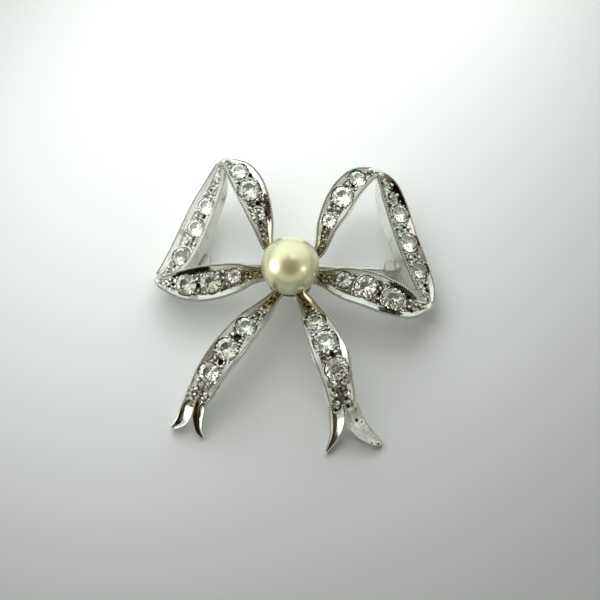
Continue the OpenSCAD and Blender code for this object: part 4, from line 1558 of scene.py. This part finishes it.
# How far below the pearl's middle the gold tinge begins, partly glue and partly a painted
# reflection of the gilt cup, over what height it grows, and how far
CUP_GLOW = 0.75
GLOW_H = 1.3
GLOW_MOST = 0.8


def nacre():
    """A cream pearl that drifts a little in colour, with a gold tinge near its cup that is partly glue
    and partly a painted reflection of the cup.
    """
    finish, tree, shader, place = new_finish("nacre")
    drift = noise(tree, place, 5, 1.0)
    grain = noise(tree, place, 0.5)
    base = drift.smooth(0.35, 0.65).mixed(CREAM, GREENISH)
    base = grain.smooth(0.5, 0.9).mixed(base, ROSE)
    height = tree.node("ShaderNodeSeparateXYZ", {}, {0: place}, output="Z")
    cup_reflection = ((PEARL.z - CUP_GLOW * MM - height) / (GLOW_H * MM)).clamped()
    base = (GLOW_MOST * cup_reflection).mixed(base, GOLD)
    feed(
        tree, shader, Base_Color=base, Metallic=0.75, Roughness=0.26 + 0.05 * grain,
        Coat_Weight=0.12, Coat_Roughness=0.2, Normal=bump(tree, grain, 0.01, 0.3))
    return finish


pearl_finish = nacre()
print("pearl:", pearl_finish.name)

# %% [markdown]
# ## Clear stones
# The stones are colourless and see-through. Their own facets do the work, so the glass is plain,
# with only a breath of grey from dust and wear. Nine of the stones have old dirt behind them and
# look darker, so they get a dimmer glass.

# %% Clear stones
STONE_IOR = 2.15


def clear_stone(name, clean, worn):
    """Clear glass that lets less light through where it is dusty."""
    finish, tree, shader, place = new_finish(name)
    dust = noise(tree, place, 0.6)
    feed(
        tree, shader, Base_Color=dust.mixed(clean, worn), IOR=STONE_IOR, Transmission_Weight=1.0,
        Roughness=0.04 + 0.04 * dust.smooth(0.5, 0.8))
    return finish


DIM_STONES = [
    "stone_left_upper_2", "stone_left_lower_2", "stone_left_lower_3", "stone_left_tail_1",
    "stone_left_tail_2", "stone_right_outer_3", "stone_right_lower_1", "stone_right_tail_1",
    "stone_right_tail_2",
]
bright_stone = clear_stone("bright_stone", colour(0.80, 0.82, 0.79), colour(0.67, 0.70, 0.63))
dim_stone = clear_stone("dim_stone", colour(0.47, 0.50, 0.45), colour(0.35, 0.38, 0.28))
print(len(DIM_STONES), "stones are", dim_stone.name, "and the others", bright_stone.name)

# %% [markdown]
# ## Putting the pieces on the frame
# Each piece gets its finish and is set on the body that it rides on, and the frame's solid that it
# stands for is hidden. The frame's stones, rivet and pin stay as they are and only get a better
# finish.

# %% Finishes and bodies
SHARP = math.radians(32)


def place_on_frame(piece, finish, slot, *nodes):
    """Gives a piece its finish, sets it on the body that it rides on, and hides the nodes it stands for.
    """
    piece.data.materials.clear()
    piece.data.materials.append(finish)
    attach(piece, "brooch")
    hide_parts(*nodes)


def smoothed(piece):
    """Shades a piece smooth, but for the edges that are sharper than SHARP."""
    choose(piece)
    bpy.ops.object.shade_smooth_by_angle(angle=SHARP)
    return piece


for piece in [*strips.values(), *points_of.values(), *folds.values()]:
    place_on_frame(smoothed(piece), ribbon_metal, "white_metal", "ribbon_frame")
for piece in flats.values():
    place_on_frame(smoothed(piece), fitting_metal, "white_metal", "ribbon_frame")
place_on_frame(smoothed(knot), cup_metal, "white_metal", "ribbon_frame")
for piece in beaded.values():
    place_on_frame(piece, mill_metal, "white_metal", "ribbon_frame")
for piece in grains.values():
    place_on_frame(piece, bead_metal, "white_metal", "ribbon_frame")
for name, piece in fittings.items():
    place_on_frame(smoothed(piece), fitting_metal, "white_metal", name)
place_on_frame(pearl, pearl_finish, "nacre", "pearl")

for name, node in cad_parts.items():
    if name.startswith("stone"):
        node.material_slots[0].material = dim_stone if name in DIM_STONES else bright_stone
    elif name == "pin_stem":
        node.material_slots[0].material = wire_metal
    elif name == "hinge_rivet":
        node.material_slots[0].material = fitting_metal
print("dressed", len(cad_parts), "nodes")

# %% [markdown]
# ## The table
# The brooch lies on a plain pale table, which bright metal also mirrors from below. It only has
# to be wide enough that no polished wall sees past its edge.

# %% Table
TABLE_W = 1.6
PAINT = colour(0.77, 0.80, 0.78)
PALER_PAINT = colour(0.80, 0.82, 0.80)


def table_paint():
    """Pale matt paint whose tone changes slowly."""
    finish, tree, shader, place = new_finish("table_paint")
    tone = noise(tree, place, 40)
    feed(tree, shader, Base_Color=tone.mixed(PAINT, PALER_PAINT), Roughness=0.5)
    return finish


deselect()
bpy.ops.mesh.primitive_plane_add(size=TABLE_W)
table = named("table")
table.data.materials.append(table_paint())
table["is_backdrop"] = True
print("the table is", round(table.dimensions.x, 1), "m wide")

# %% [markdown]
# ## The room
# Polished metal is a picture of the room, so the room is painted in the world's colour by
# direction: a bright wall behind, a window to the left, a small lamp to the right and one on the
# ceiling, and the darker places, which are the near side of the room and the photographer above.
# Each of them is a soft round patch about one direction. Matt things need far less of this light
# than the lamps below give, so the room is dimmed for the light that they scatter.

# %% World
def direction(azimuth, elevation):
    """A unit vector. Azimuth counts clockwise from +Y, seen from above."""
    a, e = math.radians(azimuth), math.radians(elevation)
    return (math.sin(a) * math.cos(e), math.cos(a) * math.cos(e), math.sin(e))


# Patches as (azimuth, elevation, half angle, softness, colour), each over the ones before it
PATCHES = [
    (0, 30, 55, 20, (1.02, 1.1, 1.04)),
    (180, 0, 62, 14, (0.71, 0.70, 0.61)),
    (176, 64, 36, 9, (0.24, 0.20, 0.15)),
    (176, 70, 16, 6, (0.13, 0.13, 0.08)),
    (300, 42, 22, 10, (1.2, 1.2, 1.2)),
    (254, 22, 20, 7, (3.0, 3.0, 3.0)),
    (112, 26, 7, 3, (3.2, 3.2, 2.9)),
    (44, 75, 6, 3, (2.2, 1.9, 1.9)),
]
SKY = (0.62, 0.64, 0.60)
# How much of the room's light reaches what is matt, and the rays that see it in full
MATT_SHARE = 0.15
CLEAR_RAYS = ("Is Camera Ray", "Is Glossy Ray", "Is Transmission Ray")

world =bpy.data.worlds.new("room")
world.use_nodes = True
bpy.context.scene.world = world
sky = Wire(world.node_tree)
look = sky.node("ShaderNodeTexCoord", {}, {}, output="Generated")
room = colour(*SKY)
for azimuth, elevation, half, soft, tint in PATCHES:
    towards = sky.node(
        "ShaderNodeVectorMath", {"operation": "DOT_PRODUCT"},
        {0: look, 1: direction(azimuth, elevation)}, output="Value")
    inside = towards.smooth(
        math.cos(math.radians(half + soft)), math.cos(math.radians(max(half - soft, 0))))
    room = inside.mixed(room, colour(*tint))
by_camera, by_mirror, through_glass = (
    sky.node("ShaderNodeLightPath", {}, {}, output=ray) for ray in CLEAR_RAYS)
seen = by_camera + by_mirror + through_glass
background = world.node_tree.nodes["Background"]
world.node_tree.links.new(room.socket, background.inputs["Color"])
world.node_tree.links.new(
    (MATT_SHARE + (1 - MATT_SHARE) * seen.clamped()).socket, background.inputs["Strength"])
print("the room has", len(PATCHES), "patches")

# %% [markdown]
# ## The lamps
# Two wide soft lamps stand behind the brooch and to its left. They are near enough that the table
# grows darker towards the lower right, and wide enough that the shadows have no edge. They light
# what is matt, and the room above is what the metal mirrors.

# %% Lamps
# Each lamp's direction, its distance and width in metres, and its power in watts
LAMPS = {
    "window_lamp": ((302, 60), 0.058, 0.09, 0.031),
    "back_lamp": ((3, 32), 0.077, 0.09, 0.046),
}
for name, (towards, distance, size, power) in LAMPS.items():
    deselect()
    place = Vector(direction(*towards)) * distance
    bpy.ops.object.light_add(type="AREA", location=place)
    lamp = bpy.context.object
    lamp.name = name
    lamp.data.shape = "DISK"
    lamp.data.size = size
    lamp.data.energy = power
    lamp.rotation_euler = place.to_track_quat("Z", "Y").to_euler()
    lamp.visible_camera = False
    lamp.visible_glossy = False
bpy.context.scene.view_settings.view_transform = "Standard"
print("lamps:", sorted(LAMPS))

# %% [markdown]
# ## Sizes
# The dressed model must stay the size of the frame. Both boxes are printed side by side.

# %% Sizes
visual_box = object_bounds()
boxes = {"cad": [list(corner) for corner in cad_box], "visual": [list(corner) for corner in visual_box]}
for name, (low, high) in boxes.items():
    print(name, [round((b - a) / MM, 2) for a, b in zip(low, high)], "mm")
